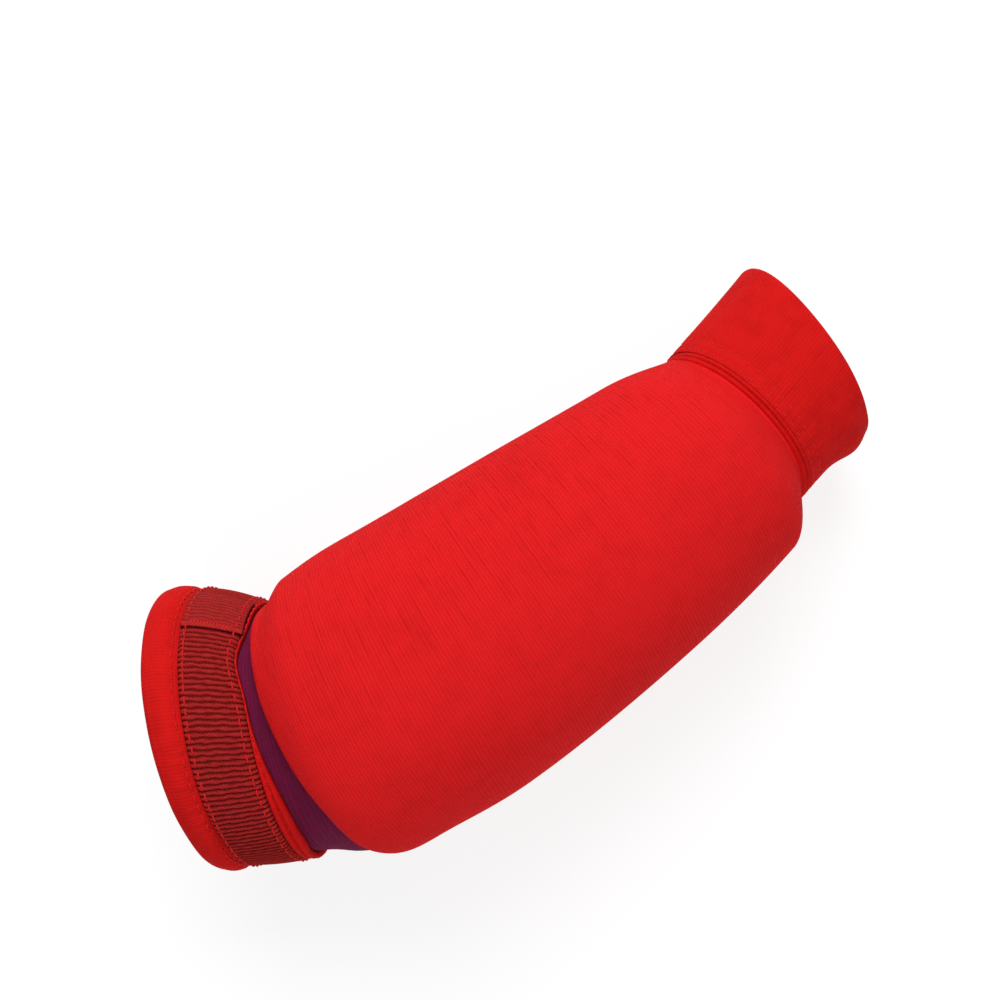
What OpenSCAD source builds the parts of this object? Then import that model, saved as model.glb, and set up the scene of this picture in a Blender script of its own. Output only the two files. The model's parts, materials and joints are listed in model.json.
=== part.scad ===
// Padded forearm guard: a pull-on knit sleeve with a foam pad under a cover on its outer side.
// +X runs from the elbow mouth to the wrist mouth and +Z out of the crown of the pad.
// The origin lies on the surface that the guard rests on, under the middle of its box.

/* [Elbow end] */
// Outside diameter of the elbow hem
elbow_d = 98; // [85:1:110]
// Width of the elbow hem along the sleeve
hem_w = 12; // [10:1:18]
// How far the hem draws in beside the ribbed band
hem_draw = 1.2; // [0.4:0.1:1.6]
// Width of the ribbed elastic band
rib_w = 20; // [14:1:30]
// Number of ribs around the band
rib_count = 150; // [100:2:180]
// Height of a rib
rib_h = 0.8; // [0.3:0.1:1.4]
// Length of the flat lap where the ends of the band meet
lap_len = 24; // [14:1:34]
// Angle from the crown to the middle of the lap
lap_at = 62; // [40:1:120]
// Width of the binding between the band and the pad
binding_w = 5; // [4:0.5:9]
// Height of the two ridges of the binding
binding_h = 1; // [0.5:0.1:1.6]
// How far the ribbed band draws the sleeve in beside the pad
neck_draw = 5; // [0:0.5:6]

/* [Wrist end] */
// Outside diameter of the wrist cuff at its waist
wrist_d = 68; // [58:1:78]
// Length of the wrist cuff
cuff_len = 34; // [28:1:44]
// Length of the straight waist beside the wrist seam
waist_len = 14; // [11:1:18]
// How far the wrist mouth flares beyond the waist
wrist_flare = 0.5; // [0.5:0.5:6]
// Width of the raised ridge along the wrist seam
welt_w = 2.4; // [1.6:0.2:4]
// Height of that ridge above the cuff
welt_h = 0.8; // [0.4:0.1:1.4]

/* [Sleeve] */
// Distance along the forearm between the centres of the two mouths
mouth_span = 252; // [225:1:280]
// How far the elbow mouth is set to the inside of the bend
mouth_offset = 30; // [10:1:40]
// Turn of the elbow end about the vertical
elbow_turn = 27; // [10:1:35]
// Turn of the wrist end about the vertical
wrist_turn = 8; // [0:1:14]
// Droop of the elbow end towards the surface
elbow_droop = 10; // [2:1:13]
// Droop of the wrist end towards the surface
wrist_droop = 9; // [4:1:12]
// How long the sleeve stays full before it tapers to the wrist
fullness = 1.85; // [0.9:0.05:2.2]

/* [Pad] */
// Height of the foam at its crown
pad_t = 13; // [9:1:18]
// Angle that the cover wraps to each side of its crown
pad_wrap = 112; // [95:1:118]
// Turn of the crown about the sleeve towards the outside of the bend
pad_turn = 9; // [0:1:14]
// Least distance from the binding to the foot of the pad
pad_gap = 1; // [1:0.5:8]
// How far the rounded elbow end draws back at its sides
pad_round = 15; // [4:1:16]
// Angle from the crown to the foremost point of the elbow end
pad_lean = 60; // [20:1:80]
// How far the elbow end leans out over its foot
pad_nose = 10; // [2:0.5:12]
// Length over which the elbow end rounds up to its full height
nose_len = 20; // [14:1:30]
// Length over which the pad falls to the wrist seam
fall_len = 16; // [14:1:40]
// Width of the flat sewn edge of the cover
flange_w = 3; // [2:0.5:5]

/* [Fabric] */
// Thickness of the sleeve panels
knit_t = 1.6; // [1:0.1:2.2]
// Thickness of the pad cover
cover_t = 1.6; // [1:0.1:2.2]
// Thickness of one leaf of a folded hem or cuff
leaf_t = 2; // [1.4:0.1:2.6]
// Thickness of the ribbed band under its ribs
web_t = 1.4; // [1:0.1:2]
// Depth to which the sleeve is sewn into the hem and the cuff
sewn_in = 4.5; // [3:0.5:6]
// Clearance between layers that lie on each other
lap_gap = 0.3; // [0.25:0.05:0.4]
// Diameter of the sewing thread
thread_d = 0.7; // [0.4:0.1:0.9]
// Length of a stitch
stitch_len = 3; // [2:0.25:4]
// Space between two stitches
stitch_space = 1.2; // [0.8:0.1:2]

/* [Hidden] */
$fn = 96;

// Colours of the cloths
cover_red = [0.86, 0.13, 0.14];
knit_red = [0.72, 0.1, 0.13];
rib_red = [0.5, 0.1, 0.13];
thread_red = [0.9, 0.25, 0.25];
elastic_white = [0.9, 0.89, 0.86];
foam_white = [0.93, 0.91, 0.84];

// Depth of the flat on which the soft guard rests
rest_cut = 0.8;
// Room between the foam and its cover, on top and at the elbow end
foam_room = 0.6;
foam_nose_room = 1;
// Distance from the edge of a piece to its row of stitches
edge_in = 1.8;
// Lift that keeps a straight stitch clear of a round surface
thread_lift = 0.1;
// Length at each end over which the underside settles down to the rest plane
settle_len = 45;
// Length over which the sleeve widens again beyond the binding
swell_len = 13.5;
// Least thickness of the foam at its edge
foam_edge = 0.8;
// Flatter crown and steeper sides of the pad come from higher powers
crown_power = 2;
side_power = 0.85;
// A higher power lifts the foremost point of the elbow end
nose_power = 1.5;
// Straighter ends of the sleeve come from longer reaches, as shares of the span
elbow_reach = 0.24;
wrist_reach = 0.16;

// Radii of the elbow end
elbow_tube_r = elbow_d / 2 - leaf_t - lap_gap;
hem_mid_r = elbow_tube_r - knit_t / 2;
channel_r = knit_t / 2 + lap_gap;
fold_r = channel_r + leaf_t;
elbow_bore_r = hem_mid_r - fold_r;
neck_tube_r = elbow_tube_r - neck_draw;
binding_r = neck_tube_r + lap_gap;
rib_floor_r = elbow_tube_r + lap_gap + web_t;
elbow_stack = hem_w + rib_w + binding_w + 2 * lap_gap;

// Places along the elbow end, from its mouth
rib_from = hem_w + lap_gap;
rib_to = rib_from + rib_w;
binding_from = rib_to + lap_gap;

// Radii of the wrist end
wrist_tube_r = wrist_d / 2 - leaf_t - lap_gap;
wrist_bore_r = wrist_tube_r - knit_t - lap_gap - leaf_t;
flare_len = cuff_len - waist_len;
rim_r = leaf_t;
mouth_mid_r = wrist_d / 2 + wrist_flare - rim_r;
wrist_stack = cuff_len + welt_w + 2 * lap_gap;

// Headings of the two ends, both pointing from the elbow towards the wrist
function heading_of(turn, climb) = [cos(climb) * cos(turn), cos(climb) * sin(turn), sin(climb)];
elbow_axis = heading_of(-elbow_turn, elbow_droop);
wrist_axis = heading_of(wrist_turn, -wrist_droop);

// Mouth centres, at the height that lets both mouths rest on their flats
elbow_mouth_z = hem_mid_r * cos(elbow_droop) + fold_r * (1 - sin(elbow_droop)) - rest_cut;
wrist_mouth_z = mouth_mid_r * cos(wrist_droop) + rim_r * (1 - sin(wrist_droop)) - rest_cut;
elbow_mouth = [0, mouth_offset, elbow_mouth_z];
wrist_mouth = [mouth_span, 0, wrist_mouth_z];

// The bow: one smooth curve from the binding to the wrist seam
bow_start = elbow_mouth + elbow_stack * elbow_axis;
bow_end = wrist_mouth - wrist_stack * wrist_axis;
bow_span = norm(bow_end - bow_start);
bow = [bow_start, bow_start + elbow_reach * bow_span * elbow_axis,
    bow_end - wrist_reach * bow_span * wrist_axis, bow_end];
bow_steps = 60;

function bow_at(u) = pow(1 - u, 3) * bow[0] + 3 * u * pow(1 - u, 2) * bow[1]
    + 3 * u * u * (1 - u) * bow[2] + pow(u, 3) * bow[3];
function bow_slope(u) = pow(1 - u, 2) * (bow[1] - bow[0]) + 2 * u * (1 - u) * (bow[2] - bow[1])
    + u * u * (bow[3] - bow[2]);

bow_points = [for (i = [0:bow_steps]) bow_at(i / bow_steps)];
bow_run = [for (i = 0, run = 0; i <= bow_steps;
    run = run + norm(bow_points[min(i + 1, bow_steps)] - bow_points[i]), i = i + 1) run];
sleeve_len = bow_run[bow_steps];
bow_key = [for (i = [0:bow_steps]) [bow_run[i], i / bow_steps]];

function unit(v) = v / norm(v);
function clamp01(x) = min(1, max(0, x));
function smooth(x) = x * x * (3 - 2 * x);
function mix(from, to, share) = from + (to - from) * share;

// Centre and heading of the sleeve at a run s from the binding, straight beyond both ends
function centre(s) = s <= 0 ? bow_start + s * elbow_axis
    : s >= sleeve_len ? bow_end + (s - sleeve_len) * wrist_axis
    : bow_at(lookup(s, bow_key));
function heading(s) = s <= 0 ? elbow_axis
    : s >= sleeve_len ? wrist_axis
    : unit(bow_slope(lookup(s, bow_key)));

// Share of the draw of the ribbed band, which the sleeve loses again under the pad
function drawn_in(s) = s < 0 ? clamp01((s + elbow_stack - rib_from) / rib_w)
    : 1 - smooth(clamp01(s / swell_len));
// Outside radius of the sleeve, and its depth below the centre where it settles on the rest plane
function tube_r(s) = mix(elbow_tube_r, wrist_tube_r, pow(clamp01(s / sleeve_len), fullness))
    - neck_draw * drawn_in(s);
function settle(s) = smooth(clamp01(min(s, sleeve_len - s) / settle_len));
function depth(s) = tube_r(s) + settle(s) * max(0, centre(s).z + rest_cut - tube_r(s));

// Point at a run s, an angle a from the crown towards +Y, and a height h above the sleeve
function around(s, a, h) =
    let (along = heading(s),
        side = unit([-along.y, along.x, 0]),
        up = cross(along, side),
        reach = cos(a) > 0 ? tube_r(s) : depth(s),
        p = centre(s) + (tube_r(s) + h) * sin(a) * side + (reach + h) * cos(a) * up)
    [p.x, p.y, max(p.z, max(0, -h))];

// Angle that an arc of the given length takes at a run s
function arc_angle(length, s) = length / tube_r(s) * 180 / PI;

// Foot of the rounded elbow end of the pad at an angle a
function pad_foot(a) = pad_gap + pad_round * (1 - cos(a - pad_lean));
// Angle from the crown to the edge of the foam space, and the runs between which it falls to the wrist
pad_edge = pad_wrap - arc_angle(flange_w, sleeve_len);
fall_to = sleeve_len - lap_gap - flange_w;
fall_from = fall_to - fall_len;
// Height of the foam space at a run s and angle a, away from the elbow end
function pad_height(s, a) =
    let (sides = pow(1 - pow(clamp01(abs(a + pad_turn) / pad_edge), crown_power), side_power),
        fall = sin(90 * clamp01((fall_to - s) / fall_len)))
    (pad_t + foam_room) * sides * fall;
// Share of that height at a distance d from the foot
function pad_rise(d) = sqrt(1 - pow(1 - clamp01(d / nose_len), 2));
// Forward lean of the elbow end, nothing at its foot and greatest above mid height
function pad_lean_out(a, d) =
    pad_nose * pad_height(pad_foot(a), a) / (pad_t + foam_room) * sin(180 * pow(pad_rise(d), nose_power));

function even(from, to, count) = [for (i = [0:count]) mix(from, to, i / count)];

// Rows of the pad: round the elbow end, along the body, down the fall and over the sewn edge
nose_rows = 8;
body_rows = 8;
fall_rows = 5;
foam_rows = nose_rows + body_rows + fall_rows;
function pad_run(row, a, inset) =
    let (foot = pad_foot(a) + inset)
    row <= nose_rows ? foot + nose_len * (1 - cos(90 * row / nose_rows))
    : row <= nose_rows + body_rows ? mix(foot + nose_len, fall_from, (row - nose_rows) / body_rows)
    : row <= foam_rows ? mix(fall_from, fall_to, (row - nose_rows - body_rows) / fall_rows)
    : sleeve_len - lap_gap;
// Columns of the pad: even steps between its sewn edges
pad_columns = even(-pad_edge - pad_turn, pad_edge - pad_turn, 23);
cover_columns = concat([-pad_wrap - pad_turn], pad_columns, [pad_wrap - pad_turn]);

// Point of the cover: wall is its cloth outside the foam space, inset the distance from its foot
function cover_point(row, a, wall, inset) =
    let (s = pad_run(row, a, inset),
        d = s - pad_foot(a) - inset)
    around(s - pad_lean_out(a, d), a, lap_gap + (pad_height(s, a) + wall) * pad_rise(d));
cover_top = [for (row = [0:foam_rows + 1]) [for (a = cover_columns) cover_point(row, a, cover_t, 0)]];
cover_lining = [for (row = [0:foam_rows + 1]) [for (a = cover_columns) cover_point(row, a, 0, cover_t)]];

// Point of the top of the foam, or of its foot, which keeps its room to the lining
function foam_point(row, a, top) =
    let (s = pad_run(row, a, cover_t),
        d = s - pad_foot(a) - cover_t,
        set_back = mix(foam_nose_room, 0, clamp01(d / (2 * nose_len))),
        h = (pad_height(s, a) - foam_room) * pad_rise(d))
    top ? around(s - pad_lean_out(a, d) + set_back, a, lap_gap + max(h, foam_edge))
    : around(s + set_back, a, lap_gap);

// Middle of the box of the guard
function torus_reach(middle, axis, ring_r, fold, way) =
    middle * way + ring_r * sqrt(1 - pow(axis * way, 2)) + fold;
fold_centre = elbow_mouth + fold_r * elbow_axis;
rim_centre = wrist_mouth - rim_r * wrist_axis;
box_west = -torus_reach(fold_centre, elbow_axis, hem_mid_r, fold_r, [-1, 0, 0]);
box_east = torus_reach(rim_centre, wrist_axis, mouth_mid_r, rim_r, [1, 0, 0]);
box_north = torus_reach(fold_centre, elbow_axis, hem_mid_r, fold_r, [0, 1, 0]);
box_south = min([for (row = cover_top) min([for (p = row) p.y])]);
origin = [(box_west + box_east) / 2, (box_south + box_north) / 2, 0];

// Two triangles of a four-sided patch
function patch(a, b, c, d) = [[a, b, c], [a, c, d]];

// Closed sheet between an outer and an inner grid of points
module sheet(outer, inner) {
    rows = len(outer);
    columns = len(outer[0]);
    count = rows * columns;
    last = (rows - 1) * columns;
    points = [for (grid = [outer, inner]) for (row = grid) each row];
    outside = [for (i = [0:rows - 2], j = [0:columns - 2])
        let (p = i * columns + j) each patch(p, p + 1, p + columns + 1, p + columns)];
    inside = [for (f = outside) [f[2] + count, f[1] + count, f[0] + count]];
    ends = [for (j = [0:columns - 2]) each concat(
        patch(j + 1, j, count + j, count + j + 1),
        patch(last + j, last + j + 1, count + last + j + 1, count + last + j))];
    sides = [for (i = [0:rows - 2])
        let (p = i * columns, q = p + columns, e = columns - 1) each concat(
            patch(p, q, count + q, count + p),
            patch(q + e, p + e, count + p + e, count + q + e))];
    translate(-origin)
        polyhedron(points, concat(outside, inside, ends, sides), convexity = 6);
}

// Frames of the two ends: local z runs from the mouth into the sleeve
module at_elbow() {
    translate(elbow_mouth - origin)
        rotate([0, 90 - elbow_droop, -elbow_turn])
            children();
}
module at_wrist() {
    translate(wrist_mouth - origin)
        rotate([0, 90 - wrist_droop, 180 + wrist_turn])
            children();
}

// Flat underside where a cuff rests
module on_rest_plane() {
    block = 2 * elbow_d;
    difference() {
        children();
        translate([-mouth_span, -block, -block])
            cube([2 * mouth_span, 2 * block, block]);
    }
}

module ring(inner_r, outer_r, from, to) {
    translate([0, 0, from])
        difference() {
            cylinder(r = outer_r, h = to - from);
            translate([0, 0, -1])
                cylinder(r = inner_r, h = to - from + 2);
        }
}

function arc(middle, r, from, to, steps) =
    [for (i = [0:steps]) let (t = mix(from, to, i / steps)) middle + r * [cos(t), sin(t)]];

module stitch(from, to) {
    run = to - from;
    translate(from - origin)
        rotate([0, acos(run.z / norm(run)), atan2(run.y, run.x)])
            cylinder(d = thread_d, h = norm(run), $fn = 16);
}

// Row of stitches round a cuff, on a surface of radius r
module stitch_ring(r, z) {
    stitch_r = r + thread_d / 2 + thread_lift;
    count = floor(2 * PI * stitch_r / (stitch_len + stitch_space));
    for (k = [0:count - 1])
        rotate([0, 0, k * 360 / count])
            translate([stitch_r, 0, z])
                rotate([90, 0, 0])
                    cylinder(d = thread_d, h = stitch_len, center = true, $fn = 16);
}

// Runs of the sleeve panels, from inside the elbow hem to inside the wrist cuff
panel_from = hem_w - sewn_in - elbow_stack;
panel_to = sleeve_len + wrist_stack - cuff_len + sewn_in;
panel_runs = concat([panel_from, rib_from - elbow_stack, rib_to - elbow_stack],
    even(0, swell_len, 6), [for (k = [1:14]) mix(swell_len, sleeve_len, k / 14)], [panel_to]);

module panel(from, to, columns) {
    angles = even(from, to, columns);
    sheet([for (s = panel_runs) [for (a = angles) around(s, a, 0)]],
        [for (s = panel_runs) [for (a = angles) around(s, a, -knit_t)]]);
}

module sleeve_back_panel() {
    parting = arc_angle(lap_gap, sleeve_len);
    color(knit_red)
        panel(pad_wrap - pad_turn + parting, 360 - pad_wrap - pad_turn - parting, 14);
}

module sleeve_front_panel() {
    color(knit_red)
        panel(-pad_turn - pad_wrap, pad_wrap - pad_turn, 23);
}

module foam_pad() {
    rows = [1:foam_rows - 1];
    columns = [for (k = [1:len(pad_columns) - 2]) pad_columns[k]];
    color(foam_white)
        sheet([for (row = rows) [for (a = columns) foam_point(row, a, true)]],
            [for (row = rows) [for (a = columns) foam_point(row, a, false)]]);
}

module pad_cover() {
    color(cover_red)
        sheet(cover_top, cover_lining);
}

// Outside radius of the hem at a distance z from the mouth
function hem_r(z) = elbow_d / 2 - hem_draw * pow(clamp01((z - fold_r) / (hem_w - fold_r)), 3);

module elbow_hem() {
    outside = [for (z = even(hem_w, fold_r, 8)) [hem_r(z), z]];
    fold = arc([hem_mid_r, fold_r], fold_r, -15, -180, 11);
    channel = arc([hem_mid_r, fold_r], channel_r, -180, 0, 8);
    color(cover_red)
        on_rest_plane()
            at_elbow()
                rotate_extrude()
                    polygon(concat(outside, fold,
                        [[elbow_bore_r, hem_w], [hem_mid_r - channel_r, hem_w]],
                        channel, [[hem_mid_r + channel_r, hem_w]]));
}

module elbow_hem_elastic() {
    color(elastic_white)
        at_elbow()
            ring(elbow_tube_r - knit_t, elbow_tube_r, fold_r, hem_w - sewn_in - lap_gap);
}

// Half the angle of the lap, and the angle of its middle in the frame of the elbow end
lap_half = lap_len / rib_floor_r * 90 / PI;
lap_middle = 180 - lap_at;
// Narrowing of the band from the hem to the binding, and its radius under the ribs
neck_scale = binding_r / (elbow_tube_r + lap_gap);
function rib_r(z) = rib_floor_r * mix(1, neck_scale, (z - rib_from) / rib_w);

module rib_band() {
    outline = [for (k = [0:2 * rib_count - 1])
        let (t = k * 180 / rib_count,
            flat = abs(t - lap_middle) < lap_half + 180 / rib_count,
            r = rib_floor_r + (k % 2 == 1 && !flat ? rib_h : 0))
        [r * cos(t), r * sin(t)]];
    color(rib_red)
        at_elbow()
            translate([0, 0, rib_from])
                difference() {
                    linear_extrude(height = rib_w, scale = neck_scale)
                        polygon(outline);
                    translate([0, 0, -rib_w])
                        cylinder(r1 = binding_r + 2 * neck_draw, r2 = binding_r - neck_draw, h = 3 * rib_w);
                }
}

module rib_band_lap() {
    color(rib_red)
        at_elbow()
            rotate([0, 0, lap_middle - lap_half])
                rotate_extrude(angle = 2 * lap_half)
                    translate([thread_lift, 0])
                        polygon([[rib_r(rib_from), rib_from], [rib_r(rib_from) + web_t / 2, rib_from],
                            [rib_r(rib_to) + web_t / 2, rib_to], [rib_r(rib_to), rib_to]]);
}

module rib_lap_tack() {
    count = floor((rib_w - 4 * edge_in) / (1.5 * thread_d));
    tack_h = thread_lift + web_t / 2 + thread_lift + thread_d / 2;
    color(thread_red)
        at_elbow()
            for (k = [0:count])
                let (z = mix(rib_from + 2 * edge_in, rib_to - 2 * edge_in, k / count))
                    rotate([0, 0, lap_middle + lap_half - edge_in / rib_floor_r * 180 / PI])
                        translate([rib_r(z - thread_d / 2) + tack_h, 0, z])
                            rotate([90, 0, 0])
                                cylinder(d = thread_d, h = stitch_len / 2, center = true, $fn = 16);
}

module elbow_binding() {
    ridges = [for (z = even(0, binding_w, 20))
        [binding_r + web_t + binding_h * abs(sin(360 * z / binding_w)), z]];
    color(cover_red)
        at_elbow()
            translate([0, 0, binding_from])
                rotate_extrude()
                    polygon(concat([[binding_r, 0]], ridges, [[binding_r, binding_w]]));
}

// Flare of the wrist cuff at a share of the way from the waist to the mouth
function flare(share) = pow(share, 1.4);

module wrist_cuff() {
    lip_in = wrist_d / 2 + wrist_flare - 2 * rim_r - wrist_bore_r;
    outside = [for (t = even(0, 1, 8))
        [wrist_d / 2 + wrist_flare * flare(t), mix(flare_len, rim_r, t)]];
    rim = arc([mouth_mid_r, rim_r], rim_r, -20, -160, 7);
    inside = [for (t = even(1, 0, 8)) [wrist_bore_r + lip_in * flare(t), mix(flare_len, rim_r, t)]];
    slot_in = wrist_tube_r - knit_t - lap_gap;
    slot_out = wrist_tube_r + lap_gap;
    color(cover_red)
        on_rest_plane()
            at_wrist()
                rotate_extrude()
                    polygon(concat([[wrist_d / 2, cuff_len]], outside, rim, inside,
                        [[wrist_bore_r, cuff_len], [slot_in, cuff_len], [slot_in, flare_len],
                        [slot_out, flare_len], [slot_out, cuff_len]]));
}

module wrist_cuff_elastic() {
    color(elastic_white)
        at_wrist()
            ring(wrist_tube_r - knit_t, wrist_tube_r, flare_len + lap_gap,
                cuff_len - sewn_in - lap_gap);
}

module wrist_welt() {
    foot_r = wrist_tube_r + lap_gap;
    top_r = wrist_d / 2 + welt_h - welt_w / 2;
    color(cover_red)
        at_wrist()
            translate([0, 0, cuff_len + lap_gap])
                rotate_extrude()
                    polygon(concat([[foot_r, 0]], arc([top_r, welt_w / 2], welt_w / 2, -90, 90, 10),
                        [[foot_r, welt_w]]));
}

module hem_stitching() {
    z = hem_w - edge_in;
    color(thread_red)
        at_elbow()
            stitch_ring(hem_r(z - thread_d / 2), z);
}

module rib_stitching() {
    color(thread_red)
        at_elbow()
            for (z = [rib_from + edge_in, rib_to - edge_in])
                stitch_ring(rib_r(z - thread_d / 2) + max(rib_h, web_t / 2 + thread_lift), z);
}

module binding_stitching() {
    color(thread_red)
        at_elbow()
            stitch_ring(binding_r + web_t + thread_d / 4, binding_from + binding_w / 2);
}

module wrist_stitching() {
    color(thread_red)
        at_wrist()
            for (row = [1, 3])
                stitch_ring(wrist_d / 2, cuff_len - row * edge_in);
}

// Row of stitches on the flat edge of the cover, on the side given by way
module side_stitching(way) {
    row_h = lap_gap + cover_t + thread_d / 2 + thread_lift;
    first = pad_foot(way * pad_wrap - pad_turn) + nose_len;
    last = sleeve_len - lap_gap - edge_in - stitch_len;
    count = floor((last - first) / (stitch_len + stitch_space));
    for (k = [0:count])
        let (s = first + k * (stitch_len + stitch_space), e = s + stitch_len)
            stitch(around(s, way * (pad_wrap - arc_angle(edge_in, s)) - pad_turn, row_h),
                around(e, way * (pad_wrap - arc_angle(edge_in, e)) - pad_turn, row_h));
}

module inner_side_stitching() {
    color(thread_red)
        side_stitching(1);
}

module outer_side_stitching() {
    color(thread_red)
        side_stitching(-1);
}

sleeve_back_panel();
sleeve_front_panel();
foam_pad();
pad_cover();
elbow_hem();
elbow_hem_elastic();
rib_band();
rib_band_lap();
rib_lap_tack();
elbow_binding();
wrist_cuff();
wrist_cuff_elastic();
wrist_welt();
hem_stitching();
rib_stitching();
binding_stitching();
wrist_stitching();
inner_side_stitching();
outer_side_stitching();
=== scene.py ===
"""Looks of a padded forearm guard: knit sleeve, foam pad, ribbed elbow band and folded wrist cuff.

Lengths inside the classes are millimetres in the frame of the part, angles on the sleeve are radians
from its crown towards +Y, and meshes are made in metres.
"""
import json
import logging
import math
from abc import ABC, abstractmethod
from dataclasses import dataclass, field
from enum import Enum
from functools import partial
from typing import Any, Callable, Sequence

import bpy
import numpy as np
from mathutils import Matrix, Vector
from mathutils.bvhtree import BVHTree
from mathutils.kdtree import KDTree


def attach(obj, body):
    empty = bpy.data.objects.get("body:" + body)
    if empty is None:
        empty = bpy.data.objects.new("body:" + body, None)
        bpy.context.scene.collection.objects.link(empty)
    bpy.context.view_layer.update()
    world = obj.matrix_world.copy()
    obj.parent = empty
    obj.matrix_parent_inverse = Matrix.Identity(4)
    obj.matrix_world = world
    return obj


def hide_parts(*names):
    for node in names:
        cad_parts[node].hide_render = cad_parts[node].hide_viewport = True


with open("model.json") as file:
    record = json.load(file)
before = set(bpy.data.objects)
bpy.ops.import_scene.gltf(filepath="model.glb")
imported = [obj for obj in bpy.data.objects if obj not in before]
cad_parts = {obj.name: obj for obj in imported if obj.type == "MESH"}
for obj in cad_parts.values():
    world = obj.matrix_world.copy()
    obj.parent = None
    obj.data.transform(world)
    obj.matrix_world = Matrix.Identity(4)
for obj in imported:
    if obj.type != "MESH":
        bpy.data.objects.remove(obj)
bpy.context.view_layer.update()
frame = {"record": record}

MM = 0.001
BODY = "root"
CLOTH_MAP = "cloth"
CREST = "crest"
TURN = 2 * math.pi
TINY = 1e-12
Array = np.ndarray
Material = bpy.types.Material
Piece = bpy.types.Object
ArrayRule = Callable[[Array], Array]
RowRule = Callable[[float, Array], Array]
Colour = tuple[float, float, float]
WHITE: Colour = (1.0, 1.0, 1.0)
log = logging.getLogger("forearm_guard")


def unit(vectors: Array) -> Array:
    """Each vector at length one."""
    return vectors / np.linalg.norm(vectors, axis=-1, keepdims=True)


def ease(share: Array) -> Array:
    """Smooth step from 0 to 1 as the share goes from 0 to 1."""
    share = np.clip(share, 0, 1)
    return share * share * (3 - 2 * share)


def bump(x: Array, centre: float, width: float) -> Array:
    """Round bump of height 1 at the centre, fading over the width."""
    return np.exp(-(((x - centre) / width) ** 2))


@dataclass(frozen=True)
class Ripple:
    """Uneven waves round a ring: how many of each kind, the seed of their starts and their height."""

    counts: tuple[int, ...]
    seed: int
    height: float = 1.0

    def at(self, angle: Array) -> Array:
        """Works out the waves.

        Args:
            angle: Angles round the ring.

        Returns:
            The mean of the waves at each angle, times the height.
        """
        starts = np.random.default_rng(self.seed).uniform(0, TURN, len(self.counts))
        waves = sum(np.sin(count * angle + start) for count, start in zip(self.counts, starts))
        return self.height * (waves / len(self.counts))


@dataclass(frozen=True)
class Sway:
    """Wander of the ribs to and fro: how far, over which length, and how it shifts round the band."""

    size: float
    length: float
    shift: float
    count: int

    def at(self, z: Array, a: Array) -> Array:
        """Sway at distances z from the mouth and angles a from the crown."""
        return self.size * np.sin(z * TURN / self.length + self.shift * np.sin(self.count * a))


def arc(centre: Sequence[float], r: float, first: float, last: float, steps: int) -> Array:
    """Points of an arc.

    Args:
        centre: Middle of the arc.
        r: Radius.
        first: Angle of the first point in degrees.
        last: Angle of the last point in degrees.
        steps: Number of steps between them.

    Returns:
        The points, one to a row.
    """
    t = np.radians(np.linspace(first, last, steps + 1))
    return np.array(centre) + r * np.stack([np.cos(t), np.sin(t)], axis=1)


def line(first: Sequence[float], last: Sequence[float], steps: int) -> Array:
    """Points on a straight line, without its last point."""
    return np.linspace(first, last, steps + 1)[:-1]


def around_ring(count: int) -> Array:
    """Even angles round a ring, one to a row."""
    return np.linspace(0, TURN, count, endpoint=False)[:, None]


def lengths_along(points: Array, axis: int) -> Array:
    """Distance run along one axis of a grid of points.

    Args:
        points: The grid.
        axis: The axis that is followed.

    Returns:
        The distance of each point from the first on its line.
    """
    steps = np.linalg.norm(np.diff(points, axis=axis), axis=-1)
    start = np.zeros_like(np.take(steps, [0], axis=axis))
    return np.concatenate([start, np.cumsum(steps, axis=axis)], axis=axis)


def lengths_round(points: Array) -> Array:
    """Distance round a grid of points.

    Args:
        points: The grid, whose columns go round the sleeve.

    Returns:
        The distance of each point from the middle column, below 0 before it.
    """
    round_it = lengths_along(points, 1)
    middle = points.shape[1] // 2
    return round_it - round_it[:, middle:middle + 1]


def rim_of(grid: Array) -> Array:
    """What lies round the edge of a grid, ending with the first again."""
    return np.concatenate([grid[0, :-1], grid[:-1, -1], grid[-1, :0:-1], grid[:0:-1, 0], grid[:1, 0]])


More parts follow.
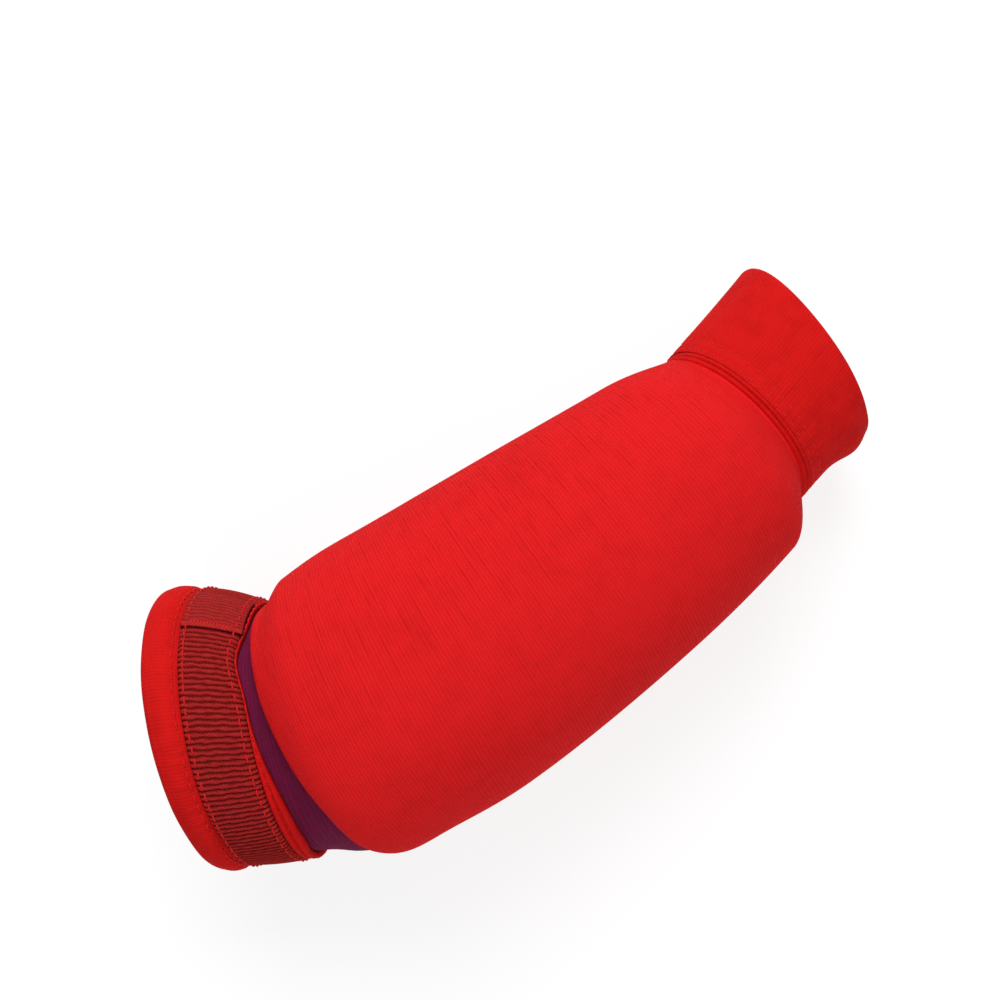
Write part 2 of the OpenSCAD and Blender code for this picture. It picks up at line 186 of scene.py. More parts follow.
class ClothMesh:
    """Points, faces, cloth coordinates and crests of one piece, gathered patch by patch."""

    EDGE_ROUND = 0.45
    THREAD_SIDES = 8
    THREAD_BLUNT = 0.86
    THREAD_POWER = 8

    def __init__(self) -> None:
        """Starts with nothing."""
        self.points: list[Array] = []
        self.crests: list[Array] = []
        self.faces: list[tuple[int, ...]] = []
        self.coords: list[Array] = []
        self.count = 0

    def add_points(self, points: Array, crest: Array | float = 0.0) -> Array:
        """Adds points.

        Args:
            points: Grid of points in millimetres.
            crest: How far each point stands out of the weave, from 0 to 1.

        Returns:
            The numbers of the points, in the grid's shape.
        """
        shape = points.shape[:-1]
        self.points.append(points.reshape(-1, 3))
        self.crests.append(np.broadcast_to(crest, shape).reshape(-1))
        numbers = np.arange(self.count, self.count + self.points[-1].shape[0]).reshape(shape)
        self.count += numbers.size
        return numbers

    def add_faces(self, corners: Array, coords: Array) -> None:
        """Adds faces, whose corners lie along the last axis, with the cloth coordinates there."""
        self.faces.extend(map(tuple, corners.reshape(-1, corners.shape[-1]).tolist()))
        self.coords.append(coords.reshape(-1, 2))

    def add_grid(self, numbers: Array, coords: Array, flip: bool = False) -> None:
        """Adds the four-sided faces of a grid.

        Args:
            numbers: Point numbers, rows by columns.
            coords: Cloth coordinates of the same shape.
            flip: Whether the faces look the other way.
        """
        corners = [(0, 0), (1, 0), (1, 1), (0, 1)]
        if flip:
            corners.reverse()
        rows, columns = numbers.shape[0] - 1, numbers.shape[1] - 1
        cut = [np.s_[i:i + rows, j:j + columns] for i, j in corners]
        at = np.stack([coords[part] for part in cut], axis=-2)
        self.add_faces(np.stack([numbers[part] for part in cut], axis=-1), at)

    def add_sheet(self, outer: Array, inner: Array, runs: Array, crest: Array | float = 0.0) -> None:
        """Adds a closed sheet of cloth with a rounded edge.

        Args:
            outer: Grid of points of its outer face, rows along the sleeve and columns round it.
            inner: Grid of points of its inner face.
            runs: Length along the cloth at each point.
            crest: Crests of the outer face.
        """
        coords = np.stack([np.broadcast_to(runs, outer.shape[:2]), lengths_round(outer)], axis=-1)
        top = self.add_points(outer, crest)
        under = self.add_points(inner)
        self.add_grid(top, coords)
        self.add_grid(under, coords, flip=True)
        away = np.zeros_like(outer)
        away[0] += unit(outer[0] - outer[1])
        away[-1] += unit(outer[-1] - outer[-2])
        away[:, 0] += unit(outer[:, 0] - outer[:, 1])
        away[:, -1] += unit(outer[:, -1] - outer[:, -2])
        thick = np.linalg.norm(outer - inner, axis=-1, keepdims=True)
        middle = (outer + inner) / 2 + away * thick * self.EDGE_ROUND
        edge = self.add_points(rim_of(middle)[:-1])
        edge = np.concatenate([edge, edge[:1]])
        at = np.stack([rim_of(coords)] * 2, axis=1)
        self.add_grid(np.stack([rim_of(top), edge], axis=1), at)
        self.add_grid(np.stack([edge, rim_of(under)], axis=1), at)

    def add_ring(self, points: Array, crest: Array | float = 0.0) -> None:
        """Adds a ring with a closed section.

        Args:
            points: Sections by their points, round the sleeve and along the section.
            crest: Crests of the points.
        """
        numbers = np.pad(self.add_points(points, crest), ((0, 1), (0, 1)), mode="wrap")
        closed = np.pad(points, ((0, 1), (0, 1), (0, 0)), mode="wrap")
        coords = np.stack([lengths_along(closed, 1), lengths_along(closed, 0)], axis=-1)
        coords[..., 1] = coords[..., 1].mean(axis=1, keepdims=True)
        self.add_grid(numbers, coords)

    def add_threads(self, paths: Array, out: Array, r: float) -> None:
        """Adds short round threads with blunt ends.

        Args:
            paths: Threads by the points of their middle lines.
            out: For each point, the direction out of the cloth.
            r: Radius of the thread.
        """
        sides = self.THREAD_SIDES
        count, steps = paths.shape[:2]
        ahead = unit(np.gradient(paths, axis=1))
        across = unit(np.cross(ahead, out))
        over = np.cross(across, ahead)
        t = np.linspace(-1, 1, steps)
        taper = r * np.sqrt(np.clip(1 - self.THREAD_BLUNT * t**self.THREAD_POWER, 0, 1))
        turn = np.arange(sides) * TURN / sides
        ring = np.cos(turn)[:, None] * across[:, :, None] + np.sin(turn)[:, None] * over[:, :, None]
        points = paths[:, :, None] + taper[None, :, None, None] * ring
        numbers = np.pad(self.add_points(points), ((0, 0), (0, 0), (0, 1)), mode="wrap")
        run = np.broadcast_to(lengths_along(paths, 1)[:, :, None], numbers.shape)
        girth = np.broadcast_to(np.arange(sides + 1) * TURN * r / sides, numbers.shape)
        coords = np.stack([run, girth], axis=-1)
        for thread in range(count):
            self.add_grid(numbers[thread], coords[thread], flip=True)
        for end, order in ((0, 1), (-1, -1)):
            caps = numbers[:, end, :sides][:, ::order]
            self.add_faces(caps, coords[:, end, :sides])

    def build(self, name: str) -> Piece:
        """Makes the object.

        Args:
            name: Name of the piece.

        Returns:
            The object, smooth, with its faces looking outwards.
        """
        points = np.concatenate(self.points) * MM
        mesh = bpy.data.meshes.new(name)
        mesh.from_pydata(points.tolist(), [], self.faces)
        layer = mesh.uv_layers.new(name=CLOTH_MAP)
        layer.uv.foreach_set("vector", (np.concatenate(self.coords) * MM).astype(np.float32).ravel())
        crest = mesh.attributes.new(CREST, "FLOAT", "POINT")
        crest.data.foreach_set("value", np.concatenate(self.crests).astype(np.float32))
        if self.volume(mesh, points) < 0:
            mesh.flip_normals()
        mesh.shade_smooth()
        piece = bpy.data.objects.new(name, mesh)
        bpy.context.scene.collection.objects.link(piece)
        return piece

    @staticmethod
    def volume(mesh: bpy.types.Mesh, points: Array) -> float:
        """Signed volume of a closed mesh.

        Args:
            mesh: The mesh.
            points: Places of its points.

        Returns:
            The volume, below 0 where the faces look inwards.
        """
        mesh.calc_loop_triangles()
        corners = np.zeros(len(mesh.loop_triangles) * 3, np.int32)
        mesh.loop_triangles.foreach_get("vertices", corners)
        a, b, c = points[corners.reshape(-1, 3)].transpose(1, 0, 2)
        return float((a * np.cross(b, c)).sum() / 6)


class Value:
    """A shader socket that takes part in Python arithmetic."""

    def __init__(self, shader: "Shader", socket: bpy.types.NodeSocket) -> None:
        """Wraps a socket of the shader's tree."""
        self.shader = shader
        self.socket = socket

    def __add__(self, other: Any) -> "Value":
        """Sum."""
        return self.shader.math("ADD", self, other)

    def __sub__(self, other: Any) -> "Value":
        """Difference."""
        return self.shader.math("SUBTRACT", self, other)

    def __mul__(self, other: Any) -> "Value":
        """Product."""
        return self.shader.math("MULTIPLY", self, other)

    def __truediv__(self, other: Any) -> "Value":
        """Quotient."""
        return self.shader.math("DIVIDE", self, other)

    def __pow__(self, other: Any) -> "Value":
        """Power."""
        return self.shader.math("POWER", self, other)

    def __rsub__(self, other: Any) -> "Value":
        """Difference from a number."""
        return self.shader.math("SUBTRACT", other, self)

    def __rtruediv__(self, other: Any) -> "Value":
        """Quotient of a number by the value."""
        return self.shader.math("DIVIDE", other, self)

    def __rpow__(self, other: Any) -> "Value":
        """Power of a number to the value."""
        return self.shader.math("POWER", other, self)

    def __abs__(self) -> "Value":
        """Value without its sign."""
        return self.shader.math("ABSOLUTE", self)

    __radd__ = __add__
    __rmul__ = __mul__

    def fraction(self) -> "Value":
        """Part after the point."""
        return self.shader.math("FRACT", self)

    def sine(self) -> "Value":
        """Sine of an angle in radians."""
        return self.shader.math("SINE", self)

    def between(self, low: float, high: float) -> "Value":
        """Smooth share of the way between two limits.

        Args:
            low: Limit where the share is 0.
            high: Limit where the share is 1.

        Returns:
            The share, from 0 to 1.
        """
        inputs = {"Value": self, "From Min": low, "From Max": high}
        node = self.shader.node("ShaderNodeMapRange", {"interpolation_type": "SMOOTHSTEP"}, inputs)
        return Value(self.shader, node.outputs["Result"])


class Shader:
    """Node tree of one material or of the world."""

    MIX_SHARE, MIX_FIRST, MIX_SECOND = 0, 6, 7
    MIX_COLOUR = 2

    def __init__(self, owner: Material | bpy.types.World) -> None:
        """Starts an empty tree with its output.

        Args:
            owner: The material or the world.
        """
        self.owner = owner
        owner.use_nodes = True
        self.tree = owner.node_tree
        self.tree.nodes.clear()
        kind = "World" if isinstance(owner, bpy.types.World) else "Material"
        self.output = self.node(f"ShaderNodeOutput{kind}")

    @classmethod
    def of_material(cls, name: str) -> "Shader":
        """Tree of a new material."""
        return cls(bpy.data.materials.new(name))

    def node(
        self, kind: str, settings: dict[str, Any] | None = None, inputs: dict[Any, Any] | None = None
    ) -> bpy.types.Node:
        """Adds a node.

        Args:
            kind: Type of the node.
            settings: Its own settings, which are set first.
            inputs: Values or links of its sockets, by name or number.

        Returns:
            The node.
        """
        made = self.tree.nodes.new(kind)
        for key, value in (settings or {}).items():
            setattr(made, key, value)
        for key, value in (inputs or {}).items():
            self.feed(made.inputs[key], value)
        return made

    def feed(self, socket: bpy.types.NodeSocket, value: Any) -> None:
        """Links a value to a socket, or sets a number or colour on it.

        Args:
            socket: The socket.
            value: A value or socket to link, or else the number or colour to set.
        """
        if isinstance(value, Value):
            self.tree.links.new(value.socket, socket)
        elif isinstance(value, bpy.types.NodeSocket):
            self.tree.links.new(value, socket)
        else:
            wide = isinstance(value, tuple) and socket.type == "RGBA" and len(value) == 3
            socket.default_value = (*value, 1.0) if wide else value

    def math(self, operation: str, *values: Any) -> Value:
        """Adds a Math node for the operation on the values."""
        made = self.node("ShaderNodeMath", {"operation": operation}, dict(enumerate(values)))
        return Value(self, made.outputs[0])

    def mix(self, share: Value, first: Any, second: Any) -> Value:
        """Mixes two colours.

        Args:
            share: Share of the second colour.
            first: Colour at a share of 0.
            second: Colour at a share of 1.

        Returns:
            The mixed colour.
        """
        settings = {"data_type": "RGBA", "clamp_factor": True}
        inputs = {self.MIX_SHARE: share, self.MIX_FIRST: first, self.MIX_SECOND: second}
        made = self.node("ShaderNodeMix", settings, inputs)
        return Value(self, made.outputs[self.MIX_COLOUR])

    def cloth(self) -> tuple[Value, Value]:
        """Reads the place on the cloth.

        Returns:
            The lengths along and round the cloth, in millimetres.
        """
        place = self.node("ShaderNodeUVMap", {"uv_map": CLOTH_MAP})
        parts = self.node("ShaderNodeSeparateXYZ", inputs={0: place.outputs["UV"]})
        return Value(self, parts.outputs["X"]) / MM, Value(self, parts.outputs["Y"]) / MM

    def crest(self) -> Value:
        """How far the surface stands out of the weave."""
        made = self.node("ShaderNodeAttribute", {"attribute_name": CREST})
        return Value(self, made.outputs["Fac"])

    def noise(self, x: Value, y: Value, detail: float = 2.0) -> Value:
        """Adds soft noise with features about one unit wide.

        Args:
            x: First coordinate.
            y: Second coordinate.
            detail: How many finer layers it has.

        Returns:
            The noise, from 0 to 1.
        """
        place = self.node("ShaderNodeCombineXYZ", inputs={"X": x, "Y": y})
        inputs = {"Vector": place.outputs[0], "Scale": 1.0, "Detail": detail}
        made = self.node("ShaderNodeTexNoise", {"noise_dimensions": "2D"}, inputs)
        return Value(self, made.outputs[0])

    def finish(self, surface: bpy.types.Node) -> Material | bpy.types.World:
        """Links the last node to the output, and returns the owner of the tree."""
        self.feed(self.output.inputs["Surface"], surface.outputs[0])
        return self.owner

    def seen(self) -> Value:
        """Tells the rays that show a surface to the camera from those that light the guard.

        Returns:
            1 for a ray that the camera sees, at once or in a gloss or a glass, and else 0.
        """
        rays = self.node("ShaderNodeLightPath").outputs
        shown = Value(self, rays["Is Camera Ray"])
        for kind in ("Is Glossy Ray", "Is Transmission Ray"):
            shown = self.math("MAXIMUM", shown, rays[kind])
        return shown

    def blend(self, share: Value, first: bpy.types.Node, second: bpy.types.Node) -> bpy.types.Node:
        """Mixes two shaders by the share of the second."""
        inputs = {0: share, 1: first.outputs[0], 2: second.outputs[0]}
        return self.node("ShaderNodeMixShader", inputs=inputs)


class Grain(Enum):
    """Way in which the columns of loops of a knit run."""

    ALONG = "along"
    ROUND = "round"


Pattern = tuple[Value, Value, Value]


@dataclass(frozen=True)
class Cloth(ABC):
    """What every finish has: its name, its two colours, its roughness and its relief."""

    name: str
    colour: Colour
    shade: Colour
    rough: float = 0.9
    rubbed: float = 0.1
    relief: float = 0.5
    depth: float = 0.25
    sheen: float = 0.1
    sheen_rough: float = 0.55
    gloss: float = 0.05

    @abstractmethod
    def weave(self, shader: Shader) -> Pattern:
        """Works out the pattern of the cloth.

        Args:
            shader: The tree that it is made in.

        Returns:
            The colour, the height of the weave and where the cloth is rubbed smooth, both from 0 to 1.
        """

    def material(self) -> Material:
        """Makes the material.

        Returns:
            Matt cloth with its weave in relief and the sheen of its fibres.
        """
        shader = Shader.of_material(self.name)
        colour, height, crest_share = self.weave(shader)
        relief = {"Strength": self.relief, "Distance": self.depth * MM, "Height": height}
        raised = shader.node("ShaderNodeBump", inputs=relief)
        surface = shader.node("ShaderNodeBsdfPrincipled", inputs={
            "Base Color": colour, "Roughness": self.rough - crest_share * self.rubbed, "Normal": raised.outputs[0],
            "Sheen Weight": self.sheen, "Sheen Roughness": self.sheen_rough, "Sheen Tint": self.colour,
            "Specular IOR Level": self.gloss,
        })
        return shader.finish(surface)


@dataclass(frozen=True)
class Knit(Cloth):
    """Plain knit: columns of small loops, with soft patches, fine broken lines along the columns and
    painted shade in its grooves.
    """

    rough: float = 0.92
    rubbed: float = 0.14
    depth: float = 0.35
    sheen: float = 0.08
    grain: Grain = Grain.ALONG
    column: float = 1.2
    loop: float = 0.95
    line_pitch: float = 2.4
    line_len: float = 9.0
    lines: float = 0.5
    # Share of the broken lines left away from the lit side: the lines are painted strongest on the side
    # towards the key lamp.
    faint: float = 1.0
    side_w: float = 40.0
    broken: tuple[float, float] = (0.42, 0.7)
    patches: float = 0.35
    patch_w: float = 7.0
    patch_detail: float = 4.0
    cloud: float = 0.35
    cloud_w: float = 45.0
    loop_slope: float = 0.5
    loop_floor: float = 0.45
    loop_shade: float = 0.08
    groove_power: int = 4
    groove_shade: float = 0.22

    def weave(self, shader: Shader) -> Pattern:
        """Works out loops in columns, with painted shade in the grooves and between the loops, and broken
        lines.

        Args:
            shader: The tree that it is made in.

        Returns:
            The colour, the height, and the height again because the loops rub.
        """
        along, round_it = shader.cloth()
        across, down = (along, round_it) if self.grain is Grain.ROUND else (round_it, along)
        leg = abs((across / self.column).fraction() - 0.5) * 2
        yarn = ((down / self.loop + leg * self.loop_slope).fraction() * math.pi).sine()
        groove = leg**self.groove_power
        height = (1 - groove) * (yarn * (1 - self.loop_floor) + self.loop_floor)
        streak = shader.noise(across / (self.line_pitch / 2), down / self.line_len).between(*self.broken)
        # Painted to follow the light: the broken lines show fully on the +Y side, towards the key lamp, and
        # fade to the faint share away from it.
        shown = (round_it / self.side_w).between(0.0, 1.0) * (1 - self.faint) + self.faint
        pulse = (across * (TURN / self.line_pitch)).sine() * 0.5 + 0.5
        patch = shader.noise(along / self.patch_w, round_it / self.patch_w, self.patch_detail)
        cloud = shader.noise(along / self.cloud_w, round_it / self.cloud_w)
        dark = streak * pulse * shown * self.lines + (patch - 0.5) * self.patches
        # Painted shade: groove_shade darkens the grooves between the columns and loop_shade the hollows
        # between the loops; patch and cloud are random tone.
        dark = dark + groove * self.groove_shade + (cloud - 0.5) * self.cloud + (1 - yarn) * self.loop_shade
        return shader.mix(dark, self.colour, self.shade), height, height


@dataclass(frozen=True)
class RibKnit(Cloth):
    """Ribbed elastic with yarn wound round each rib, and painted shade: dark between the ribs, lighter on
    their crests.
    """

    relief: float = 0.6
    sheen: float = 0.08
    yarn_pitch: float = 1.3
    yarn_slant: float = 2.0
    yarn_light: float = 0.2
    wander_len: float = 2.5
    wander_w: float = 1.6
    wander: float = 0.8
    # Painted light on the crests: the crest heights over which it rises, and its share at least and added
    # by the drift noise.
    wear: tuple[float, float] = (0.2, 0.9)
    crest_lit_least: float = 0.45
    crest_lit_more: float = 0.75
    darker: float = 0.08

    def weave(self, shader: Shader) -> Pattern:
        """Works out yarn whose colour follows the height of the ribs, as painted shade between them and
        painted light on their crests.

        Args:
            shader: The tree that it is made in.

        Returns:
            The colour, the height of the yarn and its painted lightness.
        """
        along, round_it = shader.cloth()
        top = shader.crest()
        drift = shader.noise(along / self.wander_len, round_it / self.wander_w)
        wound = along / self.yarn_pitch + round_it / self.yarn_slant + drift * self.wander
        yarn = (wound * TURN).sine() * 0.5 + 0.5
        # Painted shade: dark in the valleys between the ribs and light on their crests, uneven by the drift
        # noise; the crests also rub smoother.
        crest_share = top.between(*self.wear) * (self.crest_lit_least + drift * self.crest_lit_more)
        light = crest_share + yarn * self.yarn_light - self.darker
        return shader.mix(light, self.shade, self.colour), yarn, light


@dataclass(frozen=True)
class Thread(Cloth):
    """Sewing thread of two twisted strands."""

    rough: float = 0.62
    depth: float = 0.2
    twist: float = 0.9
    slant: float = 2.2
    lit: tuple[float, float] = (0.0, 0.6)

    def weave(self, shader: Shader) -> Pattern:
        """Works out strands with a slanted groove between them.

        Args:
            shader: The tree that it is made in.

        Returns:
            The colour, the height of the strands, and that again because they rub.
        """
        along, girth = shader.cloth()
        strand = abs(((along / self.twist + girth / self.slant) * math.pi).sine())
        # Painted shade: the strands are lighter on their tops and darker in the groove between them.
        return shader.mix(strand.between(*self.lit), self.shade, self.colour), strand, strand


@dataclass(frozen=True)
class Tape(Cloth):
    """Woven elastic tape with fine lengthwise ribs."""

    rib: float = 1.1
    pick: float = 0.8
    rib_light: float = 0.7
    pick_light: float = 0.3
    pick_h: float = 0.4

    def weave(self, shader: Shader) -> Pattern:
        """Works out ribs with a plain weave between them.

        Args:
            shader: The tree that it is made in.

        Returns:
            The colour, the height of the weave and that of the ribs, which rub.
        """
        along, round_it = shader.cloth()
        rib = abs((along / self.rib * math.pi).sine())
        picks = (round_it / self.pick * TURN).sine() * 0.5 + 0.5
        # Painted shade: lighter on the ribs and picks, darker in the hollows between them.
        light = rib * self.rib_light + picks * self.pick_light
        return shader.mix(light, self.shade, self.colour), rib + picks * self.pick_h, rib


@dataclass(frozen=True)
class Foam(Cloth):
    """Open-cell foam."""

    rough: float = 0.95
    rubbed: float = 0.05
    relief: float = 0.6
    depth: float = 0.3
    sheen: float = 0.05
    cell: float = 0.9
    detail: float = 3.0
    walls: tuple[float, float] = (0.35, 0.6)

    def weave(self, shader: Shader) -> Pattern:
        """Works out small pores.

        Args:
            shader: The tree that it is made in.

        Returns:
            The colour, the height of the pores' walls, and that again because they rub.
        """
        along, round_it = shader.cloth()
        # Painted shade: the pores are darker than their walls.
        walls = shader.noise(along / self.cell, round_it / self.cell, self.detail).between(*self.walls)
        return shader.mix(walls, self.shade, self.colour), walls, walls


COVER_KNIT = Knit(
    "cover_knit", (0.80, 0.014, 0.016), (0.44, 0.005, 0.006), grain=Grain.ROUND,
    line_pitch=1.8, line_len=14.0, lines=0.33, faint=0.3,
)
HEM_KNIT = Knit(
    "hem_knit", (0.68, 0.010, 0.009), (0.36, 0.004, 0.005), grain=Grain.ALONG,
    line_len=4.0, lines=0.12, patches=0.7, relief=0.35,
)
# Painted shade: the sleeve's panels are the cover's red knit, but this dark purple red stands in for the
# shadow in the gap between the band and the pad's end.
SHADED_PANEL_KNIT = Knit(
    "panel_knit", (0.17, 0.010, 0.050), (0.08, 0.006, 0.032), grain=Grain.ROUND, lines=0.35
)
# Crest and valley colours of the band: mixed by the height of the ribs, they paint shade between the ribs
# and light on their crests.
RIB_ELASTIC = RibKnit("rib_elastic", (0.48, 0.026, 0.022), (0.17, 0.006, 0.008))
THREAD = Thread("thread", (0.70, 0.018, 0.018), (0.44, 0.008, 0.009))
ELASTIC_TAPE = Tape("elastic_tape", (0.78, 0.76, 0.70), (0.55, 0.53, 0.48))
FOAM = Foam("foam", (0.84, 0.80, 0.68), (0.58, 0.53, 0.42))


@dataclass(frozen=True)
class Layers:
    """Thicknesses of the cloths and sizes of the stitches."""

    knit_t: float = 1.6
    cover_t: float = 1.6
    leaf_t: float = 2.0
    web_t: float = 1.4
    lap_gap: float = 0.3
    sewn_in: float = 4.5
    thread_d: float = 0.7
    stitch_len: float = 3.0
    stitch_space: float = 1.2
    edge_in: float = 1.8


@dataclass
class Bow:
    """Curved line that the sleeve follows from elbow to wrist, and the round of the sleeve on it."""

    elbow_mouth: Array
    elbow_axis: Array
    wrist_mouth: Array
    wrist_axis: Array
    elbow_stack: float
    wrist_stack: float
    elbow_r: float
    wrist_r: float
    neck: tuple[float, float]
    neck_draw: float
    swell_len: float = 13.5
    fullness: float = 1.85
    elbow_reach: float = 0.24
    wrist_reach: float = 0.16
    settle_len: float = 45.0
    rest_cut: float = 0.8
    seam_slant: float = -2.6
    seam_back: float = 4.0
    seam_bow: float = 6.5
    wrist_slant: float = 6.4
    wrist_lean: float = 1.9
    elbow_slant: float = 1.9
    end_shift: float = 2.6
    end_len: float = 30.0
    slant_len: float = 60.0
    bend_shift: float = -4.7
    bend_at: float = 3.6
    bend_width: float = 22.6
    back_shift: float = 2.2
    back_at: float = 100.0
    back_width: float = 64.0
    slack: float = 3.4
    slack_at: float = 15.0
    slack_width: float = 11.0
    neck_loose: float = 3.0
    steps: int = 240

    def __post_init__(self) -> None:
        """Works out the curve and its length."""
        start = self.elbow_mouth + self.elbow_stack * self.elbow_axis
        end = self.wrist_mouth - self.wrist_stack * self.wrist_axis
        span = np.linalg.norm(end - start)
        first = start + self.elbow_reach * span * self.elbow_axis
        last = end - self.wrist_reach * span * self.wrist_axis
        self.handles = np.array([start, first, last, end])
        self.shares = np.linspace(0, 1, self.steps + 1)
        self.runs = lengths_along(self.curve(self.shares), 0)
        self.length = float(self.runs[-1])

    def curve(self, u: Array) -> Array:
        """Points of the curve.

        Args:
            u: Shares of its parameter, from 0 to 1.

        Returns:
            The points.
        """
        u = u[..., None]
        a, b, c, d = self.handles
        return (1 - u) ** 3 * a + 3 * u * (1 - u) ** 2 * b + 3 * u**2 * (1 - u) * c + u**3 * d

    def centre(self, s: Array) -> Array:
        """Points of the line, which runs on straight beyond both ends of the curve.

        Args:
            s: Runs from the binding.

        Returns:
            The points.
        """
        before = np.minimum(s, 0)[..., None] * self.elbow_axis
        after = np.maximum(s - self.length, 0)[..., None] * self.wrist_axis
        return self.curve(np.interp(s, self.runs, self.shares)) + before + after

    def slanted(self, s: Array, a: Array) -> Array:
        """Runs shifted to slant the two mouths and the wrist seam.

        Args:
            s: Runs from the binding.
            a: Angles from the crown.

        Returns:
            The runs at which the cloth lies.
        """
        past = s - self.length
        near = ease(1 + past / self.slant_len)
        beyond = ease(past / self.wrist_stack)
        seam = -self.seam_slant * near
        wrist = (self.seam_slant + self.wrist_slant) * beyond
        crown = (self.seam_bow * np.cos(a) - self.seam_back) * near * (1 - beyond)
        elbow = -self.elbow_slant * np.clip((self.neck[0] - s) / (self.elbow_stack + self.neck[0]), 0, 1)
        inner = (1 + np.sin(a)) / 2 * (1 - ease(s / self.end_len))
        return s + np.sin(a) * (seam + wrist + elbow) + crown - self.end_shift * inner

    def swung(self, s: Array) -> Array:
        """How far the soft sleeve lies towards +Y of its line, out in the bend and back beyond it."""
        bend = self.bend_shift * bump(s, self.bend_at, self.bend_width)
        return bend + self.back_shift * bump(s, self.back_at, self.back_width)

    def sides(self, s: Array) -> tuple[Array, Array]:
        """Directions at a run s.

        Args:
            s: Runs from the binding.

        Returns:
            The directions towards +Y and out of the crown.
        """
        u = np.interp(s, self.runs, self.shares)[..., None]
        a, b, c, d = self.handles
        along = unit((1 - u) ** 2 * (b - a) + 2 * u * (1 - u) * (c - b) + u**2 * (d - c))
        side = unit(np.stack([-along[..., 1], along[..., 0], np.zeros(along.shape[:-1])], axis=-1))
        return side, np.cross(along, side)

    def tube_r(self, s: Array) -> Array:
        """Outside radius of the sleeve at a run s, drawn in by the band and wider again under the pad."""
        share = np.clip(s / self.length, 0, 1) ** self.fullness
        return self.elbow_r + (self.wrist_r - self.elbow_r) * share - self.neck_draw * self.drawn(s)

    def drawn(self, s: Array) -> Array:
        """Share of the neck's draw at a run s."""
        first, last = self.neck
        return np.where(s < 0, np.clip((s - first) / (last - first), 0, 1), 1 - ease(s / self.swell_len))

    def eased(self, s: Array, a: Array) -> Array:
        """How much less the neck is drawn in on its outer side."""
        return self.neck_loose * self.drawn(s) * np.clip(-np.sin(a), 0, 1) ** 2

    def cloth_r(self, s: Array, a: Array) -> Array:
        """Outside radius of the soft sleeve, which hangs loose on its outer side past the binding."""
        loose = self.slack * bump(s, self.slack_at, self.slack_width) * ease(2 * s / self.slack_at)
        return self.tube_r(s) + loose * np.clip(-np.sin(a), 0, 1) + self.eased(s, a)

    def ring(self, s: Array, a: Array, r: Array) -> Array:
        """Points round the line.

        Args:
            s: Runs from the binding.
            a: Angles from the crown.
            r: Distances from the line.

        Returns:
            The points, none below the rest plane.
        """
        s, a, r = np.broadcast_arrays(np.asarray(s, float), a, r)
        at = self.slanted(s, a)
        side, up = self.sides(at)
        lean = self.swung(at) + self.wrist_lean * np.clip((s - self.length) / self.wrist_stack, 0, 1)
        across = r * np.sin(a) + lean
        points = self.centre(at) + across[..., None] * side + (r * np.cos(a))[..., None] * up
        points[..., 2] = np.maximum(points[..., 2], 0)
        return points

    def out(self, s: Array, a: Array) -> Array:
        """Directions out of the sleeve.

        Args:
            s: Runs from the binding.
            a: Angles from the crown.

        Returns:
            The directions.
        """
        s, a = np.broadcast_arrays(np.asarray(s, float), a)
        side, up = self.sides(s)
        return np.sin(a)[..., None] * side + np.cos(a)[..., None] * up

    def around(self, s: Array, a: Array, h: Array) -> Array:
        """Points over the sleeve, whose lower half settles down to the rest plane.

        Args:
            s: Runs from the binding.
            a: Angles from the crown.
            h: Heights above the sleeve.

        Returns:
            The points, none below the rest plane.
        """
        s, a, h = np.broadcast_arrays(np.asarray(s, float), a, np.asarray(h, float))
        at = self.slanted(s, a)
        centre = self.centre(at)
        r = self.cloth_r(s, a)
        settle = ease(np.minimum(s, self.length - s) / self.settle_len)
        depth = r + settle * np.maximum(0, centre[..., 2] + self.rest_cut - r)
        reach = np.where(np.cos(a) > 0, r, depth)
        side, up = self.sides(at)
        across = (r + h) * np.sin(a) + self.swung(at)
        points = centre + across[..., None] * side + ((reach + h) * np.cos(a))[..., None] * up
        points[..., 2] = np.maximum(points[..., 2], np.maximum(0, -h))
        return points


def finish_piece(mesh: ClothMesh, node: str, material: Material) -> Piece:
    """Makes a piece that stands for a node of the frame.

    Args:
        mesh: Its shape.
        node: The node that it replaces, which also names it.
        material: Its finish.

    Returns:
        The piece, riding on the guard.
    """
    piece = mesh.build(f"{node}_cloth")
    piece.data.materials.append(material)
    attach(piece, BODY)
    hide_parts(node)
    log.info("%s: %d points", piece.name, mesh.count)
    return piece


@dataclass
class Finishes:
    """Materials of the cloths, each made once."""

    cover: Material
    hem: Material
    # knit of the sleeve panels, dark with painted shade
    panel: Material
    rib: Material
    thread: Material
    tape: Material
    foam: Material

    @classmethod
    def make(cls) -> "Finishes":
        """All finishes of the guard."""
        cloths = (COVER_KNIT, HEM_KNIT, SHADED_PANEL_KNIT, RIB_ELASTIC, THREAD, ELASTIC_TAPE, FOAM)
        return cls(*(cloth.material() for cloth in cloths))


